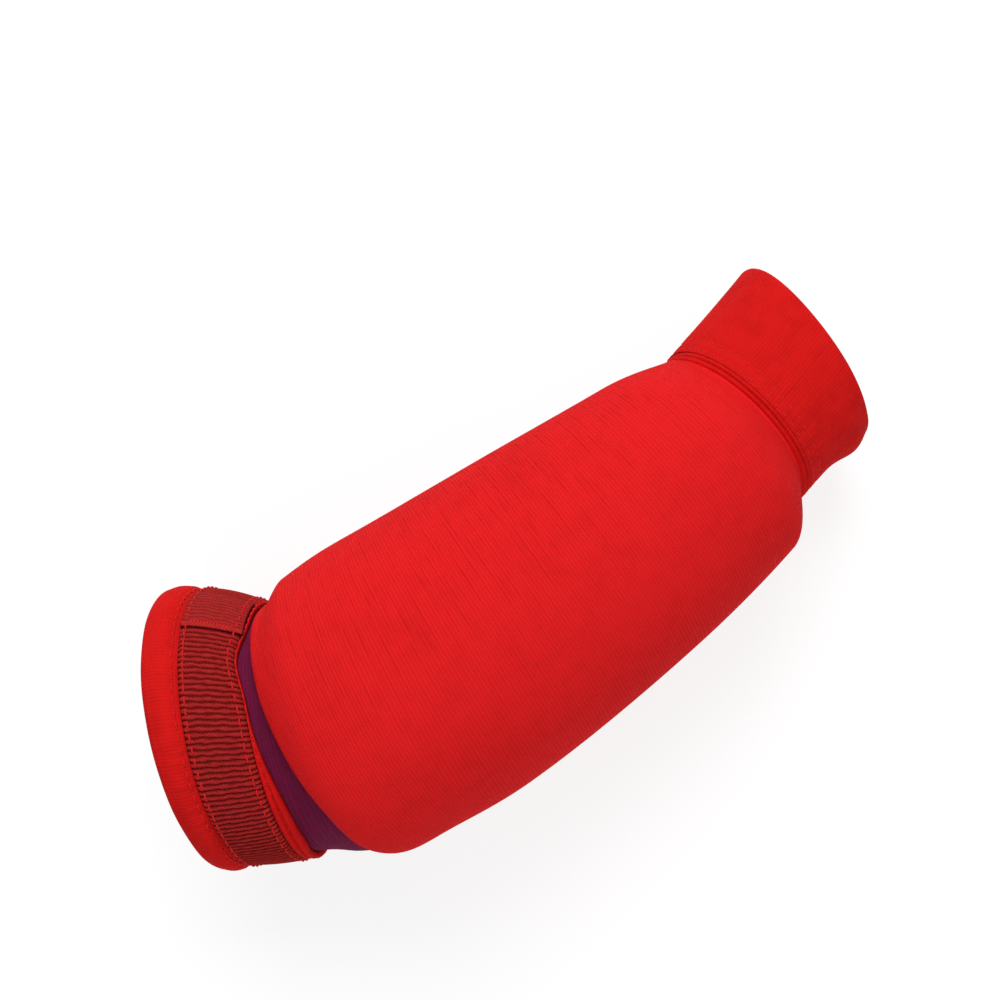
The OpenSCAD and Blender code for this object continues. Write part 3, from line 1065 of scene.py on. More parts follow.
class Stitcher:
    """Sews rows of stitches on a sleeve."""

    STITCH_POINTS = 9
    RISE = 0.42
    DIVE = 1.15
    DIVE_POWER = 3
    GIRTH_SAMPLES = 90

    def __init__(self, bow: Bow, layers: Layers) -> None:
        """Keeps what the rows need.

        Args:
            bow: Line of the sleeve.
            layers: Sizes of the thread and the stitches.
        """
        self.bow = bow
        self.layers = layers
        self.steps = np.linspace(-1, 1, self.STITCH_POINTS)

    def arch(self) -> Array:
        """Height of the thread's middle above the cloth along a stitch, whose ends dive into it."""
        return self.layers.thread_d * (self.RISE - self.DIVE * np.abs(self.steps) ** self.DIVE_POWER)

    def round_row(self, mesh: ClothMesh, run: ArrayRule, surface: ArrayRule) -> None:
        """Sews a row round the sleeve.

        Args:
            mesh: Mesh that gets the stitches.
            run: Run of the row at an angle.
            surface: Radius of the cloth at an angle.
        """
        size = self.layers
        r = float(np.mean(surface(np.linspace(0, TURN, self.GIRTH_SAMPLES))))
        count = int(TURN * r / (size.stitch_len + size.stitch_space))
        middle = np.arange(count) * TURN / count
        a = middle[:, None] + self.steps * size.stitch_len / 2 / r
        paths = self.bow.ring(run(a), a, surface(a) + self.arch())
        mesh.add_threads(paths, self.bow.out(run(a), a), size.thread_d / 2)

    def long_row(self, mesh: ClothMesh, first: float, last: float, angle: ArrayRule, h: float) -> None:
        """Sews a row along the sleeve.

        Args:
            mesh: Mesh that gets the stitches.
            first: Run of the first stitch.
            last: Run where the row ends.
            angle: Angle of the row at a run.
            h: Height of the cloth above the sleeve.
        """
        size = self.layers
        starts = np.arange(first, last, size.stitch_len + size.stitch_space)
        s = starts[:, None] + (self.steps + 1) * size.stitch_len / 2
        paths = self.bow.around(s, angle(s), h + self.arch())
        mesh.add_threads(paths, self.bow.out(s, angle(s)), size.thread_d / 2)


@dataclass(frozen=True)
class Settle:
    """Short cloth simulation that lets a stuffed cover settle under its own filling."""

    voxel: float = 5.0
    quality: int = 6
    mass: float = 0.25
    stretch: float = 20.0
    bending: float = 1.5
    pressure: float = 4.0
    frames: int = 20
    most_out: float = 1.4
    most_in: float = 0.6
    passes: int = 6

    def prepare(self, cushion: ClothMesh, held: ArrayRule) -> Piece:
        """Makes the even mesh that is simulated.

        Args:
            cushion: Closed shape of the stuffed piece.
            held: Which points are sewn down, from their places in millimetres.

        Returns:
            The object with its sewn points in a group.
        """
        piece = cushion.build("settling")
        remesh = piece.modifiers.new("even", "REMESH")
        remesh.mode = "VOXEL"
        remesh.voxel_size = self.voxel * MM
        bpy.context.view_layer.update()
        graph = bpy.context.evaluated_depsgraph_get()
        even = bpy.data.meshes.new_from_object(piece.evaluated_get(graph))
        piece.modifiers.clear()
        piece.data = even
        sewn = piece.vertex_groups.new(name="sewn")
        sewn.add(np.flatnonzero(held(self.places(even) / MM)).tolist(), 1.0, "REPLACE")
        return piece

    @staticmethod
    def places(mesh: bpy.types.Mesh) -> Array:
        """Reads the points of a mesh.

        Args:
            mesh: The mesh.

        Returns:
            Their places in metres, one to a row.
        """
        places = np.zeros(len(mesh.vertices) * 3, np.float32)
        mesh.vertices.foreach_get("co", places)
        return places.reshape(-1, 3).astype(float)

    def run(self, piece: Piece) -> Array:
        """Runs the simulation.

        Args:
            piece: The prepared object.

        Returns:
            How far each of its points moved, in millimetres.
        """
        cloth = piece.modifiers.new("cloth", "CLOTH")
        settings = cloth.settings
        settings.quality = self.quality
        settings.mass = self.mass
        settings.tension_stiffness = settings.compression_stiffness = self.stretch
        settings.bending_stiffness = self.bending
        settings.use_pressure = True
        settings.uniform_pressure_force = self.pressure
        settings.vertex_group_mass = "sewn"
        settings.effector_weights.gravity = 0
        cloth.point_cache.frame_start, cloth.point_cache.frame_end = 1, self.frames
        scene = bpy.context.scene
        for number in range(1, self.frames + 1):
            scene.frame_set(number)
        graph = bpy.context.evaluated_depsgraph_get()
        moved = bpy.data.meshes.new_from_object(piece.evaluated_get(graph))
        return (self.places(moved) - self.places(piece.data)) / MM

    def shifts(self, points: Array, cushion: ClothMesh, held: ArrayRule) -> Array:
        """Works out how a grid of points on the cushion settles.

        Args:
            points: The grid in millimetres.
            cushion: Closed shape of the stuffed piece.
            held: Which points are sewn down, from their places in millimetres.

        Returns:
            How far each point of the grid goes out along its normal, in millimetres.
        """
        piece = self.prepare(cushion, held)
        moves = self.run(piece)
        corners = [list(face.vertices) for face in piece.data.polygons]
        tree = BVHTree.FromPolygons([vertex.co for vertex in piece.data.vertices], corners)
        nearest = [tree.find_nearest(place * MM)[2] for place in points.reshape(-1, 3)]
        found = np.array([moves[corners[face]].mean(axis=0) for face in nearest]).reshape(points.shape)
        out = (found * grid_normals(points)).sum(axis=-1)
        for _ in range(self.passes):
            wide = np.pad(out, 1, mode="edge")
            near = (wide[:-2, 1:-1], wide[2:, 1:-1], wide[1:-1, :-2], wide[1:-1, 2:], out)
            out = sum(near) / len(near)
        bpy.data.objects.remove(piece)
        bpy.context.scene.frame_set(1)
        return np.clip(out, -self.most_in, self.most_out)


SETTLE = Settle()


def grid_normals(points: Array) -> Array:
    """Outward normals of a grid whose rows run along the sleeve and whose columns run towards +Y."""
    down, across = np.gradient(points, axis=0), np.gradient(points, axis=1)
    return unit(np.cross(down, across) + TINY)


@dataclass
class Pad:
    """Foam pad and its cover on the outer side of the sleeve."""

    bow: Bow
    layers: Layers
    pad_t: float = 13.0
    wrap_deg: float = 112.0
    turn_deg: float = 9.0
    gap: float = 0.8
    round_back: float = 13.0
    lean_deg: float = 75.0
    back_deg: float = 100.0
    corner: float = 14.0
    corner_deg: float = 35.0
    turn_in_deg: float = 75.0
    flat_nose: float = 1.0
    nose: float = 10.0
    nose_len: float = 20.0
    nose_power: float = 1.5
    fall_len: float = 16.0
    inner_fall: float = 1.0
    outer_fall: float = -0.25
    flange_w: float = 3.0
    tuck: float = 1.0
    foam_room: float = 0.6
    foam_nose_room: float = 1.0
    foam_edge: float = 0.8
    foam_short: float = 0.2
    foam_strips: int = 23
    foam_columns: int = 110
    foam_first_row: int = 3
    crown_power: float = 2.0
    side_power: float = 0.85
    sewn_low: float = 0.25
    sewn_reach: float = 1.5
    columns: int = 220
    flange_columns: int = 6
    nose_rows: int = 44
    body_rows: int = 100
    fall_rows: int = 34

    def __post_init__(self) -> None:
        """Works out the edges of the pad."""
        self.wrap = math.radians(self.wrap_deg)
        self.turn = math.radians(self.turn_deg)
        self.edge = self.wrap - self.flange_w / float(self.bow.tube_r(np.array(self.bow.length)))
        self.end = self.bow.length - self.layers.lap_gap
        self.fall_to = self.end - self.tuck
        self.full_h = self.pad_t + self.foam_room

    def foot(self, a: Array) -> Array:
        """Runs of the foot of the rounded elbow end, which lies further back on the outer side.

        Args:
            a: Angles from the crown.

        Returns:
            The runs.
        """
        degrees = np.degrees(a)
        back = self.round_back * ease((self.lean_deg - degrees) / self.back_deg)
        return self.gap + back + self.corner * ease((-degrees - self.corner_deg) / self.turn_in_deg)

    def nose_run(self, a: Array) -> Array:
        """Length of the rounded elbow end at an angle, longer and flatter on the outer side."""
        return self.nose_len * (1 + self.flat_nose * np.clip(-np.sin(a), 0, 1) ** 2)

    def height(self, s: Array, a: Array) -> Array:
        """Heights of the foam space away from the elbow end, which falls to the wrist seam.

        Args:
            s: Runs from the binding.
            a: Angles from the crown.

        Returns:
            The heights.
        """
        share = np.clip(np.abs(a + self.turn) / self.edge, 0, 1)
        longer = np.where(a > 0, self.inner_fall, self.outer_fall)
        fall_len = self.fall_len * (1 + longer * np.sin(a) ** 2)
        fall = np.sin(math.pi / 2 * np.clip((self.fall_to - s) / fall_len, 0, 1))
        return self.full_h * (1 - share**self.crown_power) ** self.side_power * fall

    def rise(self, a: Array, d: Array) -> Array:
        """Share of that height at a distance from the foot."""
        return np.sqrt(1 - (1 - np.clip(d / self.nose_run(a), 0, 1)) ** 2)

    def lean_out(self, a: Array, d: Array) -> Array:
        """Forward lean of the elbow end."""
        share = self.height(self.foot(a), a) / self.full_h * self.nose_len / self.nose_run(a)
        return self.nose * share * np.sin(math.pi * self.rise(a, d) ** self.nose_power)

    def runs(self, a: Array, inset: float, last: float) -> Array:
        """Runs of the rows, close together where the surface turns.

        Args:
            a: Angles of the columns.
            inset: Distance from the foot of the cover.
            last: Run of the last row.

        Returns:
            Runs, rows by columns.
        """
        foot = self.foot(a) + inset
        over = 1 - np.cos(np.linspace(0, math.pi / 2, self.nose_rows))
        nose = self.nose_run(a)
        fall_from = self.fall_to - self.fall_len
        body = np.linspace(0, 1, self.body_rows)[1:]
        fall = np.linspace(fall_from, last, self.fall_rows)[1:]
        return np.concatenate([
            foot + over[:, None] * nose,
            foot + nose + body[:, None] * (fall_from - foot - nose),
            np.broadcast_to(fall[:, None], (fall.size, a.size)),
        ])

    def cover_points(self, a: Array, wall: float, inset: float) -> Array:
        """Points of one face of the cover.

        Args:
            a: Angles of the columns.
            wall: Cloth outside the foam space.
            inset: Distance from the foot of the cover.

        Returns:
            Grid of points.
        """
        s = self.runs(a, inset, self.end)
        d = s - self.foot(a) - inset
        h = self.layers.lap_gap + (self.height(s, a) + wall) * self.rise(a, d)
        return self.bow.around(s - self.lean_out(a, d), a, h)

    def cloth_runs(self, a: Array, points: Array) -> Array:
        """Lengths along the cover: the runs of the sleeve, and measured over the round elbow end.

        Args:
            a: Angles of the columns.
            points: Outer face of the cover.

        Returns:
            The length at each point.
        """
        s = self.runs(a, 0.0, self.end)
        last = self.nose_rows - 1
        over = lengths_along(points, 0)
        return np.where(np.arange(len(s))[:, None] < last, s[last] + over - over[last], s)

    def cover_angles(self) -> Array:
        """Angles of the columns of the cover.

        Returns:
            The angles, closer together in the sewn edges.
        """
        body = np.linspace(-self.edge, self.edge, self.columns)
        flange = np.linspace(self.edge, self.wrap, self.flange_columns)[1:]
        return np.concatenate([-flange[::-1], body, flange]) - self.turn

    def settled(self, a: Array, outer: Array) -> Array:
        """How the cover settles under its foam.

        Args:
            a: Angles of its columns.
            outer: Its outer face.

        Returns:
            The shift of each point, nothing along the sewn edges.
        """
        s = self.runs(a, 0.0, self.end)
        foot = self.bow.around(s, a, self.layers.lap_gap)
        cushion = ClothMesh()
        cushion.add_sheet(outer, foot, s)
        high = self.height(s, a) * self.rise(a, s - self.foot(a))
        crown = outer[high > self.full_h * self.sewn_low]
        tree = KDTree(len(crown))
        for number, place in enumerate(crown):
            tree.insert(place, number)
        tree.balance()

        def held(places: Array) -> Array:
            """Which places lie away from the stuffed crown."""
            return np.array([tree.find(place)[2] > self.sewn_reach * SETTLE.voxel for place in places])

        out = SETTLE.shifts(outer, cushion, held)
        free = ease(self.height(s, a) / self.full_h * 2) * ease((s - self.foot(a)) / self.nose_len * 2)
        log.info("pad_cover settles by %.2f to %.2f mm", float(out.min()), float(out.max()))
        return (out * free)[..., None] * grid_normals(outer)

    def build_cover(self, finish: Material) -> Piece:
        """Makes the cover.

        Args:
            finish: Its knit.

        Returns:
            The cover.
        """
        a = self.cover_angles()
        outer = self.cover_points(a, self.layers.cover_t, 0.0)
        lining = self.cover_points(a, 0.0, self.layers.cover_t)
        outer = outer + self.settled(a, outer)
        mesh = ClothMesh()
        mesh.add_sheet(outer, lining, self.cloth_runs(a, outer))
        piece = finish_piece(mesh, "pad_cover", finish)
        return piece

    def build_foam(self, finish: Material) -> Piece:
        """Makes the foam under the cover.

        Args:
            finish: Its foam.

        Returns:
            The foam.
        """
        inset = 2 * self.edge / self.foam_strips
        a = np.linspace(inset - self.edge, self.edge - inset, self.foam_columns) - self.turn
        last = self.fall_to - self.fall_len * self.foam_short
        s = self.runs(a, self.layers.cover_t, last)[self.foam_first_row:]
        d = s - self.foot(a) - self.layers.cover_t
        set_back = self.foam_nose_room * (1 - np.clip(d / (2 * self.nose_len), 0, 1))
        h = np.maximum((self.height(s, a) - self.foam_room) * self.rise(a, d), self.foam_edge)
        gap = self.layers.lap_gap
        mesh = ClothMesh()
        top = self.bow.around(s - self.lean_out(a, d) + set_back, a, gap + h)
        mesh.add_sheet(top, self.bow.around(s + set_back, a, gap), s)
        piece = finish_piece(mesh, "foam_pad", finish)
        return piece

    def build_stitching(self, finish: Material) -> None:
        """Sews the two long edges of the cover to the sleeve.

        Args:
            finish: The thread.
        """
        stitcher = Stitcher(self.bow, self.layers)
        size = self.layers
        last = self.end - size.edge_in - size.stitch_len
        for way, node in ((1, "inner_side_stitching"), (-1, "outer_side_stitching")):

            def angle(s: Array, way: int = way) -> Array:
                """Angle of the row at a run s, beside the edge of the cover."""
                return way * (self.wrap - size.edge_in / self.bow.tube_r(s)) - self.turn

            mesh = ClothMesh()
            side = np.array(way * self.wrap - self.turn)
            first = float(self.foot(side) + self.nose_run(side))
            stitcher.long_row(mesh, first, last, angle, size.lap_gap + size.cover_t)
            finish_piece(mesh, node, finish)


@dataclass
class Sleeve:
    """The two knit panels of the sleeve, sewn together along its sides."""

    bow: Bow
    layers: Layers
    pad: Pad
    first: float
    last: float
    crease: float = 0.25
    crease_from: float = 12.0
    rising: Ripple = Ripple((1, 2, 3), 5)
    rising_slope: tuple[float, float] = (3, 0.09)
    falling: Ripple = Ripple((1, 2), 8)
    falling_slope: tuple[float, float] = (5, -0.05)
    rows: int = 190
    front_columns: int = 200
    back_columns: int = 150

    def creases(self, s: Array, a: Array) -> Array:
        """Depths of the soft creases, which cross the sleeve both ways and fade at its ends.

        Args:
            s: Runs from the binding.
            a: Angles from the crown.

        Returns:
            The depths.
        """
        free = ease(s / self.crease_from) * ease((self.bow.length - s) / self.crease_from)
        rising = self.rising.at(a * self.rising_slope[0] + s * self.rising_slope[1])
        falling = self.falling.at(a * self.falling_slope[0] + s * self.falling_slope[1])
        return self.crease * free * (1 + rising + falling)

    def build_panel(self, node: str, a: Array, finish: Material) -> Piece:
        """Makes one panel.

        Args:
            node: The node that it replaces.
            a: Angles of its columns.
            finish: Its knit, dark with painted shade.

        Returns:
            The panel.
        """
        s = np.linspace(self.first, self.last, self.rows)[:, None]
        h = -self.creases(s, a)
        mesh = ClothMesh()
        outer = self.bow.around(s, a, h)
        inner = self.bow.around(s, a, h - self.layers.knit_t)
        mesh.add_sheet(outer, inner, s)
        piece = finish_piece(mesh, node, finish)
        width = float(np.ptp(a)) * (self.bow.elbow_r + self.bow.wrist_r) / 2
        flat = (width * MM, (self.last - self.first) * MM)
        return piece

    def build(self, finish: Material) -> None:
        """Makes both panels.

        Args:
            finish: Their knit, dark with painted shade.
        """
        wrap, turn = self.pad.wrap, self.pad.turn
        parting = self.layers.lap_gap / self.bow.wrist_r
        front = np.linspace(-wrap, wrap, self.front_columns) - turn
        self.build_panel("sleeve_front_panel", front, finish)
        back = np.linspace(wrap + parting, TURN - wrap - parting, self.back_columns) - turn
        self.build_panel("sleeve_back_panel", back, finish)


@dataclass
class SewnEnd(ABC):
    """What both ends of the sleeve have: pieces that go round it, an elastic tape and rows of stitches."""

    TAPE_COLUMNS = 360
    TAPE_RIB_H = 0.06
    TAPE_STEP = 0.1

    layers: Layers
    bore_r: float
    bow: Bow = field(init=False)
    tube_r: float = field(init=False)

    @abstractmethod
    def run(self, z: Array) -> Array:
        """Run on the sleeve at a distance z from the mouth."""

    def straight_run(self, z: float, a: Array) -> Array:
        """Run of a row that goes straight round the sleeve."""
        return np.full(a.shape, self.run(z))

    def build_ring(
        self, node: str, slot: str, finish: Material,
        a: Array, z: Array, r: Array, crest: Array | float = 0.0,
    ) -> Piece:
        """Makes a piece that goes round the sleeve.

        Args:
            node: The node that it replaces.
            slot: Material slot of the record; not used.
            finish: Its finish.
            a: Angles of its sections.
            z: Distances of their points from the mouth.
            r: Radii of their points.
            crest: Crests of their points.

        Returns:
            The piece.
        """
        mesh = ClothMesh()
        mesh.add_ring(self.bow.ring(self.run(z), a, r), crest)
        return finish_piece(mesh, node, finish)

    def build_tape(self, node: str, finish: Material, ends: tuple[float, float]) -> Piece:
        """Makes a flat elastic tape with round edges and fine ribs, in line with the sleeve.

        Args:
            node: The node that it replaces.
            finish: Its tape.
            ends: Distances of its two edges from the mouth.

        Returns:
            The tape.
        """
        inner_r, outer_r = self.tube_r - self.layers.knit_t, self.tube_r
        r = (outer_r - inner_r) / 2
        runs = self.run(np.array(ends))
        first, last = float(runs.min()) + r, float(runs.max()) - r
        middle = (inner_r + outer_r) / 2
        section = np.concatenate([
            line((outer_r, first), (outer_r, last), steps=24),
            arc((middle, last), r, first=0, last=180, steps=8),
            line((inner_r, last - self.TAPE_STEP), (inner_r, first), steps=24),
            arc((middle, first), r, first=180, last=360, steps=8)[:-1],
        ])
        ribs = self.TAPE_RIB_H * np.abs(np.sin(section[:, 1] * TURN / ELASTIC_TAPE.rib))
        a = around_ring(self.TAPE_COLUMNS)
        mesh = ClothMesh()
        mesh.add_ring(self.bow.ring(section[None, :, 1], a, section[None, :, 0] - ribs))
        return finish_piece(mesh, node, finish)

    def build_rows(
        self, node: str, finish: Material, run: RowRule, level: RowRule, places: Sequence[float]
    ) -> Piece:
        """Sews rows of stitches round the sleeve.

        Args:
            node: The node that they replace.
            finish: Their thread.
            run: Run of a row, from its place and angles.
            level: Radius of the cloth under it, from the same.
            places: Place of each row.

        Returns:
            The rows.
        """
        stitcher = Stitcher(self.bow, self.layers)
        mesh = ClothMesh()
        for z in places:
            stitcher.round_row(mesh, partial(run, z), partial(level, z))
        return finish_piece(mesh, node, finish)


@dataclass
class ElbowEnd(SewnEnd):
    """Folded hem, ribbed elastic band and binding of the elbow end."""

    hem_w: float
    fold_r: float
    hem_draw: float = 1.2
    hem_roll: float = 1.9
    hem_roll_power: float = 1.2
    hem_tuck: float = 0.5
    hem_tuck_w: float = 1.6
    hem_row_depth: float = 0.3
    hem_row_w: float = 1.1
    hem_pucker: Ripple = Ripple((72, 41, 103), 3, 0.16)
    hem_pucker_gain: float = 1.4
    hem_wave: Ripple = Ripple((5, 8, 13), 4, 0.35)
    hem_fold_fade: float = 0.7
    hem_leaf_edge: float = 0.7
    hem_leaf_step: float = 0.5
    hem_rows: int = 26
    hem_columns: int = 720
    rib_w: float = 20.0
    rib_count: int = 150
    rib_h: float = 0.8
    rib_power: float = 0.8
    rib_roll: float = 0.9
    rib_roll_power: float = 0.7
    rib_under_lap: float = 0.12
    sways: tuple[Sway, ...] = (Sway(0.22, 7.3, 5, 17), Sway(0.16, 4.1, 4, 29))
    knuckle: float = 0.35
    knuckle_w: float = 0.05
    scallop: float = 0.45
    scallop_power: int = 5
    band_edge: float = 1.1
    band_edge_w: float = 0.03
    rib_columns: int = 10
    band_rows: int = 34
    band_inner_rows: int = 12
    lap_len: float = 24.0
    lap_deg: float = 73.0
    lap_inset: float = 0.015
    lap_ease: float = 0.03
    lap_seat: float = 0.18
    lap_lift: float = 0.1
    lap_crest: float = 0.62
    lap_lines: float = 0.05
    lap_line_highlight: float = 3.0
    lap_sway: float = 0.8
    lap_sway_len: float = 7.0
    lap_rows: int = 40
    lap_columns: int = 90
    turned_h: float = 0.55
    turned_at: float = -0.93
    turned_w: float = 0.07
    turned_highlight: float = 1.2
    tack_pitch: float = 1.5
    pull: float = 2.6
    pull_at: float = 0.25
    pull_w: float = 0.25
    binding_w: float = 5.0
    binding_h: float = 1.5
    binding_least: float = 0.12
    binding_more: float = 0.98
    binding_more_from: float = 0.4
    binding_less: float = 0.45
    binding_less_from: float = 0.75
    binding_power: float = 0.6
    binding_most: float = 1.2
    binding_uneven: Ripple = Ripple((23, 37, 61), 6, 0.12)
    binding_wave: Ripple = Ripple((7, 11), 7, 0.1)
    binding_rows: int = 33
    binding_inner_rows: int = 6
    binding_columns: int = 540
    neck_draw: float = 5.0

    def __post_init__(self) -> None:
        """Works out the places of the pieces along the sleeve."""
        gap = self.layers.lap_gap
        self.mid_r = self.bore_r + self.fold_r
        self.channel_r = self.fold_r - self.layers.leaf_t
        self.out_r = self.mid_r + self.fold_r
        self.tube_r = self.mid_r + self.layers.knit_t / 2
        self.rib_floor = self.tube_r + gap + self.layers.web_t
        self.stack = self.hem_w + self.rib_w + self.binding_w + 2 * gap
        self.rib_from = self.hem_w + gap
        self.binding_from = self.rib_from + self.rib_w + gap
        self.lap_at = math.radians(self.lap_deg)
        self.lap_half = self.lap_len / self.rib_floor / 2

    def run(self, z: Array) -> Array:
        """Run on the sleeve at a distance z from the mouth."""
        return np.asarray(z, float) - self.stack

    def from_lap(self, a: Array) -> Array:
        """Angles from the middle of the lap, from -pi to pi."""
        return np.angle(np.exp(1j * (a - self.lap_at)))

    def pulled(self, a: Array) -> Array:
        """How far the wrist edge of the band is pulled back beside the end of its lap."""
        return self.pull * bump(self.from_lap(a), -self.lap_half - self.pull_at, self.pull_w)

    def band_z(self, z: Array, a: Array) -> Array:
        """Place of a line of the band that would lie at z if nothing pulled it."""
        return z - self.pulled(a) * ease(2 * (z - self.rib_from) / self.rib_w - 1)

    def binding_z(self, z: Array, a: Array) -> Array:
        """Place of a line of the binding, which follows the edge of the band."""
        return self.binding_from - self.pulled(a) + z * self.binding_share(a)

    def base_r(self, z: Array, a: Array) -> Array:
        """Inside radius of the pieces on the sleeve, which the band draws in.

        Args:
            z: Distances from the mouth.
            a: Angles from the crown.

        Returns:
            The radii.
        """
        share = np.clip((z - self.rib_from) / self.rib_w, 0, 1)
        eased = self.bow.eased(np.minimum(self.run(z), 0), a)
        return self.tube_r + self.layers.lap_gap - self.neck_draw * share + eased

    def hem_r(self, z: Array, a: Array) -> Array:
        """Outside radius of the hem, which rolls out between its fold and its row of stitches.

        Args:
            z: Distances from the mouth.
            a: Angles from the crown.

        Returns:
            The radii.
        """
        share = np.clip((z - self.fold_r) / (self.hem_w - self.fold_r), 0, 1)
        row = self.hem_row_depth * bump(z, self.hem_w - self.layers.edge_in, self.hem_row_w)
        pucker = self.hem_pucker.at(a) * ease(share * self.hem_pucker_gain)
        wave = self.hem_wave.at(a) * (1 - share)
        roll = self.hem_roll * np.sin(math.pi * np.clip(z / self.hem_w, 0, 1)) ** self.hem_roll_power
        notch = self.hem_draw * share**3 + self.hem_tuck * bump(z, self.hem_w, self.hem_tuck_w)
        return self.out_r - notch + roll - row + pucker + wave

    def hem_inside(self) -> Array:
        """Inner half of the hem's section: its inner leaf, the leaf's edge and the open channel.

        Returns:
            Points as radius and distance from the mouth, one to a row.
        """
        leaf_in, leaf_out = self.mid_r - self.channel_r, self.mid_r + self.channel_r
        edge_z, edge_r = self.hem_w - self.hem_leaf_edge, (leaf_in - self.bore_r) / 2
        past_fold = self.fold_r + self.hem_leaf_step
        return np.concatenate([
            line((self.bore_r, past_fold), (self.bore_r, edge_z), steps=10),
            arc(((self.bore_r + leaf_in) / 2, edge_z), edge_r, first=180, last=0, steps=6),
            line((leaf_in, edge_z - self.hem_leaf_step), (leaf_in, self.fold_r), steps=8),
            arc((self.mid_r, self.fold_r), self.channel_r, first=-180, last=0, steps=10),
            line((leaf_out, past_fold), (leaf_out, self.hem_w), steps=9),
        ])

    def build_hem(self, finish: Material) -> Piece:
        """Makes the folded hem with its open channel.

        Args:
            finish: Its knit.

        Returns:
            The hem.
        """
        a = around_ring(self.hem_columns)
        z_out = np.linspace(self.hem_w, self.fold_r, self.hem_rows)
        fold = arc((self.mid_r, self.fold_r), self.fold_r, first=-8, last=-172, steps=22)
        inside = self.hem_inside()
        section_z = np.concatenate([z_out, fold[:, 1], inside[:, 1]])[None, :]
        fading = np.linspace(1, 0, len(fold)) ** self.hem_fold_fade
        swell = self.hem_r(np.array([[self.fold_r]]), a) - self.out_r
        section_r = np.concatenate([
            self.hem_r(z_out[None, :], a),
            fold[:, 0] + swell * fading,
            np.broadcast_to(inside[:, 0], (a.size, len(inside))),
        ], axis=1)
        return self.build_ring("elbow_hem", "hem_knit", finish, a, section_z, section_r)

    def build_elastic(self, finish: Material) -> Piece:
        """Makes the elastic tape in the fold of the hem.

        Args:
            finish: Its tape.

        Returns:
            The tape.
        """
        ends = (self.fold_r, self.hem_w - self.layers.sewn_in - self.layers.lap_gap)
        return self.build_tape("elbow_hem_elastic", finish, ends)

    def rib_base(self, z: Array, a: Array) -> Array:
        """Radius of the band under its ribs, which rolls out between its edges.

        Args:
            z: Distances from the mouth.
            a: Angles from the crown.

        Returns:
            The radii.
        """
        share = np.clip((z - self.rib_from) / self.rib_w, 0, 1)
        roll = self.rib_roll * np.sin(math.pi * share) ** self.rib_roll_power
        return self.base_r(self.band_z(z, a), a) + self.layers.web_t + roll

    def ribs(self, z: Array, a: Array) -> Array:
        """Height of the ribs, with knuckles at their ends and a flat stretch under the lap.

        Args:
            z: Distances from the mouth.
            a: Angles from the crown.

        Returns:
            The heights, from 0 to 1.
        """
        share = (z - self.rib_from) / self.rib_w
        swayed = sum(sway.at(z, a) for sway in self.sways)
        wave = np.abs(np.sin(a * self.rib_count / 2 + swayed)) ** self.rib_power
        away = np.abs(self.from_lap(a)) - self.lap_half
        flat = self.rib_under_lap + (1 - self.rib_under_lap) * ease(away / self.lap_ease)
        width = self.knuckle_w
        ends = 1 + self.knuckle * (bump(share, width, width) + bump(share, 1 - width, width))
        return wave * flat * ends / (1 + self.knuckle)

    def build_band(self, finish: Material) -> Piece:
        """Makes the ribbed band with scalloped edges.

        Args:
            finish: Its elastic.

        Returns:
            The band.
        """
        a = around_ring(self.rib_count * self.rib_columns)
        share = np.linspace(0, 1, self.band_rows)[None, :]
        z = self.rib_from + self.rib_w * share
        ribs = self.ribs(z, a)
        scallop = self.scallop * self.ribs(np.full((1, 1), self.rib_from + self.rib_w / 2), a)
        spread = np.linspace(-1, 1, self.band_rows) ** self.scallop_power
        inner = self.rib_from + self.rib_w * np.linspace(1, 0, self.band_inner_rows)[None, :]
        inner_z = self.band_z(inner, a)
        section_z = np.concatenate([self.band_z(z, a) + scallop * spread, inner_z], axis=1)
        ends = bump(share, 0, self.band_edge_w) + bump(share, 1, self.band_edge_w)
        rib_r = self.rib_base(z, a) + self.rib_h * (1 + self.knuckle) * ribs - self.band_edge * ends
        section_r = np.concatenate([rib_r, self.base_r(inner_z, a)], axis=1)
        # The crests colour the band through its material: painted shade in the valleys between the ribs,
        # painted light on their crests.
        crest = np.concatenate([ribs, np.zeros(inner_z.shape)], axis=1)
        return self.build_ring("rib_band", "rib_elastic", finish, a, section_z, section_r, crest)

    def lap_r(self, z: Array, a: Array) -> Array:
        """Radius under the lap."""
        return self.rib_base(z, a) + self.lap_seat * self.rib_h + self.lap_lift

    def build_lap(self, finish: Material) -> Piece:
        """Makes the flat end of the band that laps over its start, with a thicker turned edge.

        Args:
            finish: Its elastic.

        Returns:
            The lap.
        """
        share = np.linspace(-1, 1, self.lap_columns)[None, :]
        a = self.lap_at + self.lap_half * share
        down = np.linspace(self.lap_inset, 1 - self.lap_inset, self.lap_rows)[:, None]
        z = self.rib_from + self.rib_w * down
        turned = self.turned_h * bump(share, self.turned_at, self.turned_w)
        sway = self.lap_sway * np.sin(z * TURN / self.lap_sway_len)
        faint = self.lap_lines * np.sin(a * self.rib_count + sway)
        # The crests colour the lap through the rib material: painted light on this flat raised end, with a
        # painted highlight along its turned edge and on the faint lines.
        crest = np.clip(self.lap_crest + self.turned_highlight * turned + self.lap_line_highlight * faint, 0, 1)
        under = self.lap_r(z, a)
        outer = self.bow.ring(self.run(z), a, under + self.layers.web_t / 2 + turned + faint)
        mesh = ClothMesh()
        mesh.add_sheet(outer, self.bow.ring(self.run(z), a, under), z, crest)
        return finish_piece(mesh, "rib_band_lap", finish)

